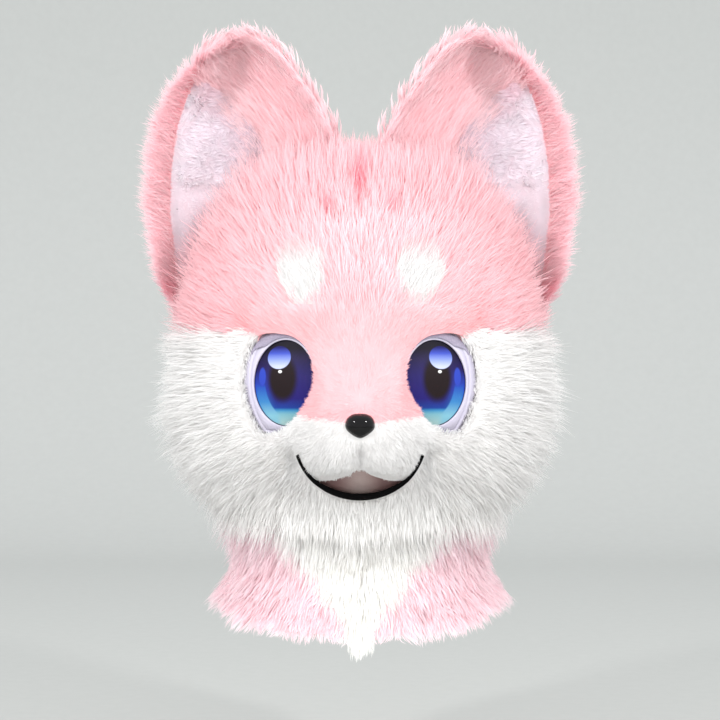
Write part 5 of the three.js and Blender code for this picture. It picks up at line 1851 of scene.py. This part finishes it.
lid_angle = np.linspace(LID_FROM, LID_TO, 60)
lid_end = smooth(np.minimum(lid_angle - LID_FROM, LID_TO - lid_angle), 0, 26)
lid_top = eye_reach(lid_angle) + LID_LAP
lid_low = lid_top - 0.0012 - (lid_top - window_reach(lid_angle) - 0.0016 - 0.0012) * lid_end
lid_rows = []
for row in LID_RINGS:
    reach = lid_low + (lid_top - lid_low) * row["share"]
    x, z = reach * np.cos(np.radians(lid_angle)), reach * np.sin(np.radians(lid_angle))
    lid_rows.append(np.stack([x, dome(x, z) - row["proud"] - 0.0005, z], -1))
lid_points = np.stack(lid_rows).reshape(-1, 3)
lid_faces = quads(len(LID_RINGS), len(lid_angle))[:, ::-1]
# Painted shade: the lid's grey stands for the shade that the fur casts on the top of the bowl
lid_shade_felt = felt_material("eyelid", srgb(124, 118, 134), srgb(148, 142, 158), 0.95, 0.3)
build_pair("lid", lid_points, lid_faces, lid_shade_felt, "eyelid")

# %% [markdown]
# ## Nose
#
# The nose is cast resin, polished like glass. Seen from the front it is a rounded triangle, wide
# above and pointed below. It is a grid of rings from its middle to its edge, and a bulge pushes
# them forward.

# %% Nose
NOSE_PROUD = 0.0115
NOSE_SEAT = face_point(0, NOSE_Z, foam_radius)
NOSE_OUTLINE_POWER = 2.6


def resin_material():
    parts = new_material("nose")
    dust = noise(parts[1], 900, 2)
    rough = add(parts[1], "MapRange", Value=dust, To_Min=0.064, To_Max=0.1)
    polish = {"Roughness": rough.outputs[0], "Specular_IOR_Level": 0.20}
    coat = {"Coat_Weight": 0.15, "Coat_Roughness": 0.05}
    return look(parts, rgba(srgb(4, 3, 4)), dust, 0.04, 0.0002, **polish, **coat)


NOSE_RINGS = 26
NOSE_AROUND = 96
around = np.linspace(0, 2 * math.pi, NOSE_AROUND, endpoint=False)
nose_share, nose_turn = grid(np.linspace(0, 1, NOSE_RINGS), around)
cos, sin = np.cos(nose_turn), np.sin(nose_turn)
powers = np.abs(cos) ** NOSE_OUTLINE_POWER + np.abs(sin) ** NOSE_OUTLINE_POWER
squareness = powers ** (-1 / NOSE_OUTLINE_POWER)
nose_z = nose_share * sin * squareness
narrow = np.where(nose_z > 0, 1 - 0.06 * nose_z**2, 1 - 0.62 * np.abs(nose_z) ** 1.8)
nose_x = nose_share * cos * squareness * narrow
bulge = np.sqrt(np.clip(1 - nose_share**2.1, 0, 1))
nose_points = np.stack(
    [
        nose_x * NOSE_HALF_WIDTH,
        NOSE_SEAT[1] - NOSE_PROUD * bulge + 0.002,
        NOSE_Z + nose_z * NOSE_HALF_HEIGHT,
    ],
    -1,
).reshape(-1, 3)
nose_faces = quads(NOSE_RINGS, NOSE_AROUND, closed=True)
build("nose_resin", nose_points, [nose_faces], resin_material(), "nose")

# %% [markdown]
# ## Mouth
#
# The lower lip is a strip of black felt that follows the smile, thickest in the middle and thin
# towards the corners. It is a tube swept along the bow, flattened, and half sunk in the skin.

# %% Lip
LIP_AROUND = 14
LIP_LINE = 0.0026  # how thick the lip is towards the corners
LIP_FULL_X, LIP_THIN_X = 0.026, 0.043  # between these it narrows
LIP_ALONG = 90
lip_share = np.linspace(0.0, 1.0, LIP_ALONG)
low_x, low_z = smile(lip_share, LIP_BOTTOM_Z)
high_x, high_z = smile(lip_share, LIP_BOTTOM_Z + LIP_BAND)
lip_x, lip_z = (low_x + high_x) / 2, (low_z + high_z) / 2
full = 1 - smooth(np.abs(lip_x), LIP_FULL_X, LIP_THIN_X)
lip_half = LIP_LINE / 2 + (np.hypot(low_x - high_x, low_z - high_z) * 0.56 - LIP_LINE / 2) * full
lip_half = np.maximum(lip_half, LIP_LINE / 2)
lip_z = lip_z + (low_z + lip_half - lip_z) * (1 - full)
lip_x = lip_x + (low_x * 0.99 - lip_x) * (1 - full)
lip_middle = face_point(lip_x, lip_z, skin_radius, 0.0010 + 0.0026 * (1 - full))
lip_normal = way_to(lip_middle)
lip_run = unit(np.gradient(lip_middle, axis=0))
lip_up = unit(np.cross(lip_run, lip_normal))
lip_turn = np.linspace(0, 2 * math.pi, LIP_AROUND, endpoint=False)
lip_thick = np.minimum(0.0022, lip_half * 1.6)
ring = lip_up[:, None] * (np.cos(lip_turn)[None, :, None] * lip_half[:, None, None])
ring = ring + lip_normal[:, None] * (np.sin(lip_turn)[None, :, None] * lip_thick[:, None, None])
lip_points = (lip_middle[:, None] + ring).reshape(-1, 3)
lip_faces = quads(LIP_ALONG, LIP_AROUND, closed=True)
lip_felt = felt_material("lip", srgb(2, 2, 2), srgb(8, 7, 8), 1.0, 0.1)
build("lip", lip_points, [lip_faces], lip_felt, "lip_band")

# %% [markdown]
# Behind the lip a brown mesh closes the mouth, and the wearer breathes through it. Its weave is
# drawn with square cells, and it is a little lighter in the middle, where more light reaches it.

# %% Mouth mesh
MOUTH_SUNK = 0.0050
MESH_ALONG = 60
MESH_ROWS = 14


def mouth_material():
    parts = new_material("mouth_mesh")
    tree = parts[1]
    weave = cells(tree, 900, distance="CHEBYCHEV")
    across = add(tree, "SeparateXYZ", Vector=place_in(tree)).outputs["X"]
    middle = fade(tree, maths(tree, "ABSOLUTE", across), 0.022, 0.0)
    colour = mix(tree, middle, rgba(srgb(122, 92, 90)), rgba(srgb(156, 138, 134)))
    # Painted shade: the holes of the weave are darker, because the shaded inside of the head shows
    # through them
    colour = mix(tree, 1.0, colour, ramp(tree, weave, [(0.1, 0.6), (0.36, 1.0)]), "MULTIPLY")
    return look(parts, colour, weave, 0.4, 0.0004, Roughness=0.8)


mesh_share, mesh_up = grid(np.linspace(0, 1, MESH_ALONG), np.linspace(0, 1, MESH_ROWS))
bow_x, bow_z = smile(mesh_share, LIP_BOTTOM_Z + LIP_BAND - 0.002)
mesh_z = bow_z + (upper_lip(bow_x) + 0.003 - bow_z) * mesh_up
mesh_points = face_point(bow_x, mesh_z, foam_radius, -MOUTH_SUNK).reshape(-1, 3)
mesh_faces = quads(MESH_ALONG, MESH_ROWS)
mouth = build("mouth_screen", mesh_points, [mesh_faces], mouth_material(), "mouth_mesh")
thickness = mouth.modifiers.new("thickness", "SOLIDIFY")
thickness.thickness = 0.0008

# %% [markdown]
# ## Studio
#
# A pale sweep of paper runs from the floor up behind the head, with a wide bend instead of a
# corner, so that no line shows where floor and wall meet. It is darker near the camera and lighter
# further back.

# %% Backdrop
FLOOR_Z = -0.500
SWEEP_FRONT_Y = -4.2
SWEEP_BACK_Y = 3.4
SWEEP_RADIUS = 1.2
SWEEP_TOP_Z = 3.6
SWEEP_HALF_WIDTH = 5.0

bend = np.linspace(0, math.pi / 2, 16)
profile = [(SWEEP_FRONT_Y, FLOOR_Z)]
profile += [
    (SWEEP_BACK_Y - SWEEP_RADIUS + SWEEP_RADIUS * math.sin(a), FLOOR_Z + SWEEP_RADIUS * (1 - math.cos(a)))
    for a in bend
]
profile.append((SWEEP_BACK_Y, SWEEP_TOP_Z))
sweep = np.array([[(x, y, z) for x in (-SWEEP_HALF_WIDTH, SWEEP_HALF_WIDTH)] for y, z in profile])
paper, tree, output = new_material("backdrop_paper")
depth = add(tree, "SeparateXYZ", Vector=place_in(tree)).outputs["Y"]
away = fade(tree, depth, -0.4, SWEEP_BACK_Y - 0.4)
tone = mix(tree, away, rgba(srgb(176, 178, 175)), rgba(srgb(195, 197, 194)))
grain = ramp(tree, noise(tree, 60, 3), [(0.3, 0.975), (0.7, 1.0)])
tone = mix(tree, 1.0, tone, grain, "MULTIPLY")
sheet = add(tree, "BsdfPrincipled", Base_Color=tone, Roughness=0.95, Specular_IOR_Level=0.0)
tree.links.new(sheet.outputs[0], output.inputs["Surface"])
mesh = bpy.data.meshes.new("backdrop")
mesh.from_pydata(sweep.reshape(-1, 3).tolist(), [], quads(len(profile), 2).tolist())
mesh.shade_smooth()
mesh.materials.append(paper)
backdrop = bpy.data.objects.new("backdrop", mesh)
bpy.context.scene.collection.objects.link(backdrop)
print("backdrop:", len(sweep), "steps")

# %% [markdown]
# Large soft lights stand in front of the head, over it and to both sides, and a little light comes
# from all round, so the fur is bright and almost free of shadow. Two small sparks stand high at the
# sides: they alone are mirrored in the nose.

# %% Lights
LIGHTS = [
    {"name": "front", "at": (0.0, -2.7, 0.5), "size": 2.6, "watts": 25},
    {"name": "left", "at": (-1.9, -1.4, 0.1), "size": 1.8, "watts": 14},
    {"name": "right", "at": (1.9, -1.4, 0.1), "size": 1.8, "watts": 14},
    {"name": "top", "at": (0.0, 0.4, 1.9), "size": 1.8, "watts": 12},
    {"name": "low", "at": (0.0, -1.9, -0.38), "size": 1.4, "watts": 23},
    {"name": "left spark", "at": (-1.0, -1.2, 0.85), "size": 0.14, "watts": 14.0},
    {"name": "right spark", "at": (1.0, -1.2, 0.85), "size": 0.14, "watts": 14.0},
]
AIM = np.array([0, 0, -0.10])
for row in LIGHTS:
    lamp = bpy.data.lights.new(row["name"], "AREA")
    lamp.size = row["size"]
    lamp.energy = row["watts"]
    stand = bpy.data.objects.new(row["name"], lamp)
    stand.location = row["at"]
    way = AIM - np.array(row["at"])
    stand.rotation_euler = (
        math.atan2(math.hypot(way[0], way[1]), -way[2]),
        0,
        math.atan2(-way[0], way[1]),
    )
    stand.visible_glossy = "spark" in row["name"]  # the polished nose mirrors only the sparks
    bpy.context.scene.collection.objects.link(stand)

world = bpy.data.worlds.new("studio")
world.use_nodes = True
background = world.node_tree.nodes["Background"]
background.inputs["Color"].default_value = (0.96, 0.97, 1.0, 1)
background.inputs["Strength"].default_value = 1.09
bpy.context.scene.world = world
bpy.context.scene.view_settings.view_transform = "Standard"
print("lights:", len(LIGHTS))

# %% [markdown]
# ## Finish
#
# The dressed head has to keep the frame's size, apart from the fur that stands a little proud. The
# triangles of all the pieces are counted, and the count of the largest piece is shown.

# %% Finish
print("triangles:", sum(TRIANGLES.values()), "largest piece:", max(TRIANGLES.values()))
